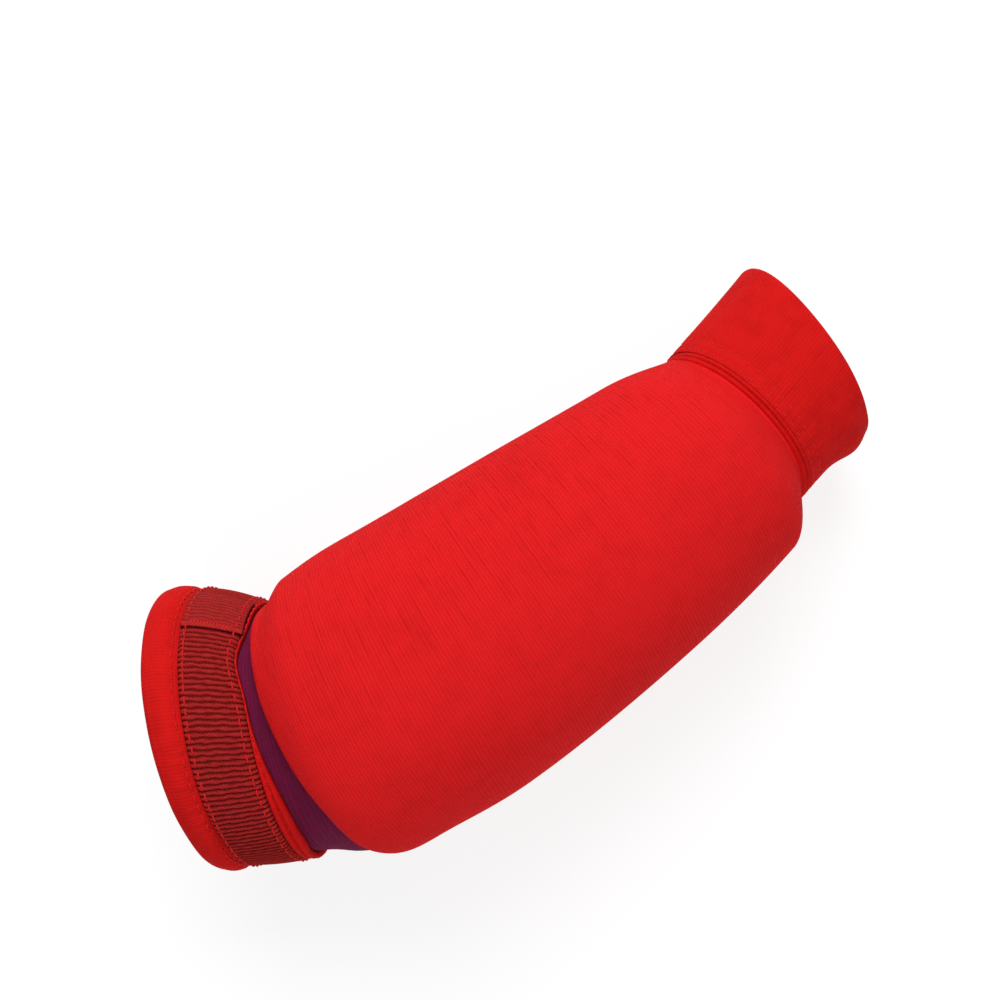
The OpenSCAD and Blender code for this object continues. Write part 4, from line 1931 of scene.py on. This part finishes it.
    def build_tack(self, finish: Material) -> Piece:
        """Makes the close row of stitches that holds the end of the lap.

        Args:
            finish: Its thread.

        Returns:
            The tack.
        """
        size = self.layers
        first = self.rib_from + 2 * size.edge_in
        last = self.rib_from + self.rib_w - 2 * size.edge_in
        z = np.arange(first, last, self.tack_pitch * size.thread_d)
        stitcher = Stitcher(self.bow, size)
        r = self.lap_r(z, np.array(self.lap_at)) + size.web_t / 2
        half = size.stitch_len / 4 / r
        at = self.lap_at - self.lap_half + size.edge_in / self.rib_floor
        a = at + half[:, None] * stitcher.steps
        s = np.broadcast_to(self.run(z)[:, None], a.shape)
        paths = self.bow.ring(s, a, r[:, None] + stitcher.arch())
        mesh = ClothMesh()
        mesh.add_threads(paths, self.bow.out(s, a), size.thread_d / 2)
        return finish_piece(mesh, "rib_lap_tack", finish)

    def binding_share(self, a: Array) -> Array:
        """Share of its width that the binding shows, which is a thin edge on the inner side.

        Args:
            a: Angles from the crown.

        Returns:
            The shares, largest between the crown and the outer side.
        """
        more = self.binding_more * ease(self.binding_more_from - np.sin(a))
        closing = (-np.sin(a) - self.binding_less_from) / (1 - self.binding_less_from)
        return self.binding_least + more - self.binding_less * ease(closing)

    def binding_r(self, z: Array, a: Array) -> Array:
        """Radius of the binding, two soft rolls side by side.

        Args:
            z: Distances across the binding.
            a: Angles from the crown.

        Returns:
            The radii.
        """
        base = self.binding_base(z, a) + self.layers.web_t
        rolls = np.abs(np.sin(TURN * z / self.binding_w)) ** self.binding_power
        full = np.minimum(self.binding_share(a), self.binding_most) * (1 + self.binding_uneven.at(a))
        return base + self.binding_h * rolls * full + self.binding_wave.at(a)

    def binding_base(self, z: Array, a: Array) -> Array:
        """Inside radius of the binding, which lies on the sleeve.

        Args:
            z: Distances across the binding.
            a: Angles from the crown.

        Returns:
            The radii.
        """
        place = self.binding_z(z, a)
        s = np.maximum(self.run(place), 0)
        rise = self.bow.cloth_r(s, a) - self.bow.cloth_r(np.zeros_like(s), a)
        return self.base_r(place, a) + rise

    def build_binding(self, finish: Material) -> Piece:
        """Makes the binding on the wrist side of the band.

        Args:
            finish: Its knit.

        Returns:
            The binding.
        """
        a = around_ring(self.binding_columns)
        z = np.linspace(0, self.binding_w, self.binding_rows)[None, :]
        inner = np.linspace(self.binding_w, 0, self.binding_inner_rows)[None, :]
        section_z = self.binding_z(np.concatenate([z, inner], axis=1), a)
        section_r = np.concatenate([self.binding_r(z, a), self.binding_base(inner, a)], axis=1)
        return self.build_ring("elbow_binding", "hem_knit", finish, a, section_z, section_r)

    def band_run(self, z: float, a: Array) -> Array:
        """Run of a row on the band, which follows its pulled edge."""
        return self.run(self.band_z(z, a))

    def band_top(self, z: float, a: Array) -> Array:
        """Radius of the band under a row, over its ribs."""
        return self.rib_base(z, a) + self.rib_h

    def binding_run(self, z: float, a: Array) -> Array:
        """Run of a row on the binding, which follows its taper."""
        return self.run(self.binding_z(z, a))

    def binding_seat(self, z: float, a: Array) -> Array:
        """Radius of the binding under a row, between its rolls."""
        return self.binding_base(z, a) + self.layers.web_t

    def build_stitching(self, finish: Material) -> None:
        """Sews the rows of the hem, the band and the binding.

        Args:
            finish: The thread.
        """
        edge, band = self.layers.edge_in, self.rib_from
        self.build_rows("hem_stitching", finish, self.straight_run, self.hem_r, [self.hem_w - edge])
        rows = [band + edge, band + self.rib_w - edge]
        self.build_rows("rib_stitching", finish, self.band_run, self.band_top, rows)
        middle = [self.binding_w / 2]
        self.build_rows("binding_stitching", finish, self.binding_run, self.binding_seat, middle)

    def build(self, finishes: Finishes) -> None:
        """Makes every piece of the elbow end.

        Args:
            finishes: The finishes of the guard.
        """
        self.build_hem(finishes.hem)
        self.build_elastic(finishes.tape)
        self.build_band(finishes.rib)
        self.build_lap(finishes.rib)
        self.build_tack(finishes.thread)
        self.build_binding(finishes.hem)
        self.build_stitching(finishes.thread)


@dataclass
class WristEnd(SewnEnd):
    """Folded cuff and seam ridge of the wrist end."""

    waist_len: float
    cuff_len: float = 34.0
    cuff_columns: int = 600
    flare: float = 0.5
    flare_power: float = 1.4
    loose: float = 3.3
    loose_at: float = 9.0
    loose_w: float = 8.0
    mouth_wave: Ripple = Ripple((3, 5), 11, 0.7)
    cuff_wave: Ripple = Ripple((9, 14, 22), 12, 0.25)
    pucker: Ripple = Ripple((51, 33, 77), 13, 0.12)
    pucker_len: float = 6.0
    lining_share: float = 0.6
    lining_edge: float = 0.8
    lining_step: float = 0.7
    slot_step: float = 0.6
    slot_edge: float = 0.4
    waist_rows: int = 16
    flare_rows: int = 28
    lining_rows: int = 20
    rows: tuple[int, int] = (1, 3)
    row_w: float = 0.9
    row_depth: float = 0.3
    row_sunk: float = 0.6
    welt_w: float = 2.4
    welt_h: float = 0.8
    welt_low: float = 0.6
    welt_crown: float = 0.3
    welt_over: float = 0.3
    welt_spread: float = 1.4
    welt_side: float = 0.2
    welt_power: float = 0.8
    welt_uneven: Ripple = Ripple((29, 47, 64), 15, 0.12)
    welt_rows: int = 33
    welt_inner_rows: int = 5
    welt_columns: int = 480

    def __post_init__(self) -> None:
        """Works out the radii of the cuff."""
        gap = self.layers.lap_gap
        self.tube_r = self.bore_r + self.layers.leaf_t + gap + self.layers.knit_t
        self.out_r = self.tube_r + gap + self.layers.leaf_t
        self.mouth_r = self.out_r + self.flare
        self.flare_len = self.cuff_len - self.waist_len
        self.rim_r = self.layers.leaf_t
        self.stack = self.cuff_len + self.welt_w + 2 * gap

    def run(self, z: Array) -> Array:
        """Run on the sleeve at a distance z from the mouth."""
        return self.bow.length + self.stack - np.asarray(z, float)

    def opened(self, z: Array) -> Array:
        """Share of the flare at a distance z from the mouth."""
        return np.clip((self.flare_len - z) / (self.flare_len - self.rim_r), 0, 1) ** self.flare_power

    def softness(self, z: Array, a: Array) -> Array:
        """How far the soft cuff stands out, with a loose corner on its outer side.

        Args:
            z: Distances from the mouth.
            a: Angles from the crown.

        Returns:
            The distances.
        """
        mouth = self.mouth_wave.at(a) * self.opened(z)
        middle = self.cuff_wave.at(a) * np.sin(math.pi * z / self.cuff_len)
        corner = bump(z, self.loose_at, self.loose_w) * np.clip(-np.sin(a), 0, 1) ** 2
        return mouth + middle + self.loose * corner

    def cuff_inside(self, z_in: Array) -> Array:
        """Inner half of the cuff's section: its lining, the lining's edge and the slot.

        Args:
            z_in: Distances from the mouth of the flared part of the lining.

        Returns:
            Points as radius and distance from the mouth, one to a row.
        """
        slot_in, slot_out = self.bore_r + self.layers.leaf_t, self.out_r - self.layers.leaf_t
        lip = self.mouth_r - 2 * self.rim_r - self.bore_r
        edge_z, edge_r = self.cuff_len - self.lining_edge, (slot_in - self.bore_r) / 2
        slot_z = self.flare_len
        return np.concatenate([
            np.stack([self.bore_r + lip * self.opened(z_in), z_in], axis=1),
            line((self.bore_r, slot_z + self.lining_step), (self.bore_r, edge_z), steps=10),
            arc(((self.bore_r + slot_in) / 2, edge_z), edge_r, first=180, last=0, steps=6),
            line((slot_in, edge_z - self.slot_step), (slot_in, slot_z), steps=8),
            line((slot_in, slot_z), (slot_out, slot_z), steps=4),
            line((slot_out, slot_z), (slot_out, self.cuff_len - self.slot_edge), steps=9),
        ])

    def build_cuff(self, finish: Material) -> Piece:
        """Makes the folded cuff with its slot for the sleeve.

        Args:
            finish: Its knit.

        Returns:
            The cuff.
        """
        a = around_ring(self.cuff_columns)
        waist_z = np.linspace(self.cuff_len, self.flare_len, self.waist_rows)
        z_out = np.concatenate([waist_z, np.linspace(self.flare_len, self.rim_r, self.flare_rows)[1:]])
        rim = arc((self.mouth_r - self.rim_r, self.rim_r), self.rim_r, first=-8, last=-172, steps=16)
        z_in = np.linspace(self.rim_r, self.flare_len, self.lining_rows)
        inside = self.cuff_inside(z_in)
        soft = self.softness(z_out, a)
        rows = sum(bump(z_out, self.cuff_len - row * self.layers.edge_in, self.row_w) for row in self.rows)
        held = ease((z_out - self.flare_len) / self.pucker_len)
        pucker = self.pucker.at(a) * held
        outside_r = self.out_r + self.flare * self.opened(z_out) + soft - self.row_depth * rows + pucker
        rim_r = rim[:, 0] + soft[:, -1:] * np.linspace(1, self.lining_share, len(rim))
        inside_r = np.tile(inside[:, 0], (a.size, 1))
        inside_r[:, :z_in.size] += self.lining_share * soft[:, -1:] * self.opened(z_in)
        section_z = np.concatenate([z_out, rim[:, 1], inside[:, 1]])[None, :]
        section_r = np.concatenate([outside_r, rim_r, inside_r], axis=1)
        return self.build_ring("wrist_cuff", "hem_knit", finish, a, section_z, section_r)

    def build_elastic(self, finish: Material) -> Piece:
        """Makes the elastic tape in the waist of the cuff.

        Args:
            finish: Its tape.

        Returns:
            The tape.
        """
        gap = self.layers.lap_gap
        ends = (self.flare_len + gap, self.cuff_len - self.layers.sewn_in - gap)
        return self.build_tape("wrist_cuff_elastic", finish, ends)

    def build_welt(self, finish: Material) -> Piece:
        """Makes the raised double ridge along the wrist seam.

        Args:
            finish: Its knit.

        Returns:
            The ridge.
        """
        a = around_ring(self.welt_columns)
        over, under = np.linspace(0, 1, self.welt_rows), np.linspace(1, 0, self.welt_inner_rows)
        rolls = np.abs(np.sin(TURN * over)) ** self.welt_power
        raised = self.welt_side + (1 - self.welt_side) * np.clip(np.cos(a), 0, 1)
        ridge = (self.welt_h + self.welt_low) * rolls + self.welt_crown * np.sin(math.pi * over)
        uneven = self.welt_uneven.at(a) * rolls
        top = self.out_r - self.welt_low + raised * ridge + uneven
        foot = np.full((a.size, under.size), self.tube_r + self.layers.lap_gap)
        first, width = self.cuff_len - self.welt_over, self.welt_w + self.welt_spread
        section_z = first + width * np.concatenate([over, under])[None, :]
        section_r = np.concatenate([top, foot], axis=1)
        return self.build_ring("wrist_welt", "hem_knit", finish, a, section_z, section_r)

    def build_stitching(self, finish: Material) -> None:
        """Sews the two rows of the wrist seam.

        Args:
            finish: The thread.
        """
        rows = [self.cuff_len - row * self.layers.edge_in for row in self.rows]
        self.build_rows("wrist_stitching", finish, self.straight_run, self.row_r, rows)

    def row_r(self, z: float, a: Array) -> Array:
        """Radius of the cuff under a row at any distance z, which sinks into it."""
        return np.full(a.shape, self.out_r - self.row_sunk)

    def build(self, finishes: Finishes) -> None:
        """Makes every piece of the wrist end.

        Args:
            finishes: The finishes of the guard.
        """
        self.build_cuff(finishes.hem)
        self.build_elastic(finishes.tape)
        self.build_welt(finishes.hem)
        self.build_stitching(finishes.thread)


@dataclass(frozen=True)
class Lamp:
    """Soft square lamp that looks at the guard, with its place and side in metres."""

    name: str
    place: tuple[float, float, float]
    side: float
    watts: float
    aim: tuple[float, float, float] = (0.0, 0.0, 0.05)

    def build(self) -> None:
        """Hangs the lamp."""
        data = bpy.data.lights.new(self.name, "AREA")
        data.shape = "SQUARE"
        data.size = self.side
        data.energy = self.watts
        lamp = bpy.data.objects.new(self.name, data)
        lamp.location = self.place
        towards = Vector(self.aim) - Vector(self.place)
        lamp.rotation_euler = towards.to_track_quat("-Z", "Y").to_euler()
        bpy.context.scene.collection.objects.link(lamp)


KEY_LAMP = Lamp("key", (0.45, 0.75, 0.95), 0.7, 11.5)
FILL_LAMP = Lamp("fill", (-0.3, -0.95, 0.8), 1.2, 4.6)


@dataclass
class Studio:
    """Pale floor, soft lamps and the camera."""

    roll_deg: float = 38.33
    tip_deg: float = 6.87
    swing_deg: float = 1.51
    aim: tuple[float, float] = (0.32, -24.9)
    aim_height: float = 50.0
    distance: float = 718.7
    pixels_per_mm: float = 2.852
    image_px: float = 1000.0
    sensor: float = 36.0
    clip: tuple[float, float] = (0.02, 20.0)
    floor_half: float = 3.0
    floor_colour: Colour = (0.86, 0.86, 0.86)
    glow: float = 1.25
    near_glow: float = 0.62
    far_glow: float = 0.8
    fade: tuple[float, float] = (0.4, 1.2)
    world_light: float = 0.3

    def turned(self) -> Matrix:
        """Turn from the frame of the guard to the frame of the camera.

        Returns:
            The turn.
        """
        tip = Matrix.Rotation(math.radians(self.tip_deg), 3, "X")
        swing = Matrix.Rotation(math.radians(self.swing_deg), 3, "Y")
        return tip @ swing @ Matrix.Rotation(math.radians(self.roll_deg), 3, "Z")

    def build_camera(self) -> None:
        """Sets the camera at the photograph's angle."""
        data = bpy.data.cameras.new("camera")
        data.sensor_width = self.sensor
        data.lens = self.sensor * self.pixels_per_mm * self.distance / self.image_px
        data.clip_start, data.clip_end = self.clip
        camera = bpy.data.objects.new("camera", data)
        back = self.turned().transposed()
        aim = Vector((0, 0, self.aim_height))
        place = aim + back @ Vector((-self.aim[0], -self.aim[1], self.distance))
        camera.matrix_world = Matrix.Translation(place * MM) @ back.to_4x4()
        bpy.context.scene.collection.objects.link(camera)
        bpy.context.scene.camera = camera

    def build_floor(self) -> None:
        """Lays the pale floor, which keeps the shadow of the guard."""
        shader = Shader.of_material("pale_floor")
        matt = shader.node("ShaderNodeBsdfDiffuse", inputs={"Color": self.floor_colour})
        glow = shader.node("ShaderNodeEmission", inputs={"Color": WHITE, "Strength": self.glow})
        place = shader.node("ShaderNodeTexCoord")
        away = shader.node("ShaderNodeVectorMath", {"operation": "LENGTH"}, {0: place.outputs["Object"]})
        far = Value(shader, away.outputs["Value"]).between(*self.fade)
        share = shader.seen() * (far * (self.far_glow - self.near_glow) + self.near_glow)
        material = shader.finish(shader.blend(share, matt, glow))
        half = self.floor_half
        mesh = bpy.data.meshes.new("floor")
        corners = [(-half, -half, 0), (half, -half, 0), (half, half, 0), (-half, half, 0)]
        mesh.from_pydata(corners, [], [(0, 1, 2, 3)])
        floor = bpy.data.objects.new("floor", mesh)
        floor.data.materials.append(material)
        bpy.context.scene.collection.objects.link(floor)

    def build_light(self) -> None:
        """Hangs a soft key lamp and a weaker fill, and sets a world that the camera sees as white."""
        KEY_LAMP.build()
        FILL_LAMP.build()
        shader = Shader(bpy.data.worlds.new("studio"))
        soft, white = (
            shader.node("ShaderNodeBackground", inputs={"Color": WHITE, "Strength": strength})
            for strength in (self.world_light, 1.0)
        )
        bpy.context.scene.world = shader.finish(shader.blend(shader.seen(), soft, white))
        bpy.context.scene.view_settings.view_transform = "Standard"

    def build(self) -> None:
        """Sets up the whole studio."""
        self.build_camera()
        self.build_floor()
        self.build_light()


@dataclass(frozen=True)
class Opening:
    """Opening of the frame: its middle, its axis out of the sleeve, its radius and its length."""

    middle: Array
    axis: Array
    r: float
    length: float

    @classmethod
    def read(cls, name: str) -> "Opening":
        """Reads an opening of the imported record.

        Args:
            name: Name of the mount.

        Returns:
            The opening.
        """
        mount = next(mount for mount in frame["record"]["mounts"] if mount["name"] == name)
        middle, axis = np.array(mount["pos_m"], float) / MM, unit(np.array(mount["axis"], float))
        return cls(middle, axis, mount["dims"]["r_mm"], mount["dims"]["length_mm"])

    def beyond(self, distance: float) -> Array:
        """Point on the axis at a distance outside the opening."""
        return self.middle + self.axis * (distance + self.length / 2)


def make_guard() -> tuple[ElbowEnd, Pad, Sleeve, WristEnd]:
    """Works out the sub-assemblies from the two openings of the frame.

    Returns:
        The elbow end, the pad, the sleeve and the wrist end.
    """
    layers = Layers()
    fold_r = layers.knit_t / 2 + layers.lap_gap + layers.leaf_t
    elbow_hole, wrist_hole = Opening.read("elbow_opening"), Opening.read("wrist_opening")
    elbow = ElbowEnd(layers, elbow_hole.r, elbow_hole.length + fold_r, fold_r)
    wrist = WristEnd(layers, wrist_hole.r, wrist_hole.length)
    neck_from = elbow.rib_from - elbow.stack
    bow = Bow(
        elbow_mouth=elbow_hole.beyond(fold_r), elbow_axis=-elbow_hole.axis,
        wrist_mouth=wrist_hole.beyond(wrist.flare_len), wrist_axis=wrist_hole.axis,
        elbow_stack=elbow.stack, wrist_stack=wrist.stack, elbow_r=elbow.tube_r, wrist_r=wrist.tube_r,
        neck=(neck_from, neck_from + elbow.rib_w), neck_draw=elbow.neck_draw,
    )
    elbow.bow = wrist.bow = bow
    pad = Pad(bow, layers)
    first = elbow.hem_w - layers.sewn_in - elbow.stack
    last = bow.length + wrist.stack - wrist.cuff_len + layers.sewn_in
    return elbow, pad, Sleeve(bow, layers, pad, first, last), wrist


def main() -> None:
    """Builds the guard and the studio."""
    logging.basicConfig(level=logging.INFO, format="%(name)s: %(message)s")
    Studio().build()
    finishes = Finishes.make()
    elbow, pad, sleeve, wrist = make_guard()
    pad.build_foam(finishes.foam)
    pad.build_cover(finishes.cover)
    pad.build_stitching(finishes.thread)
    sleeve.build(finishes.panel)
    elbow.build(finishes)
    wrist.build(finishes)


if __name__ == "__main__":
    main()
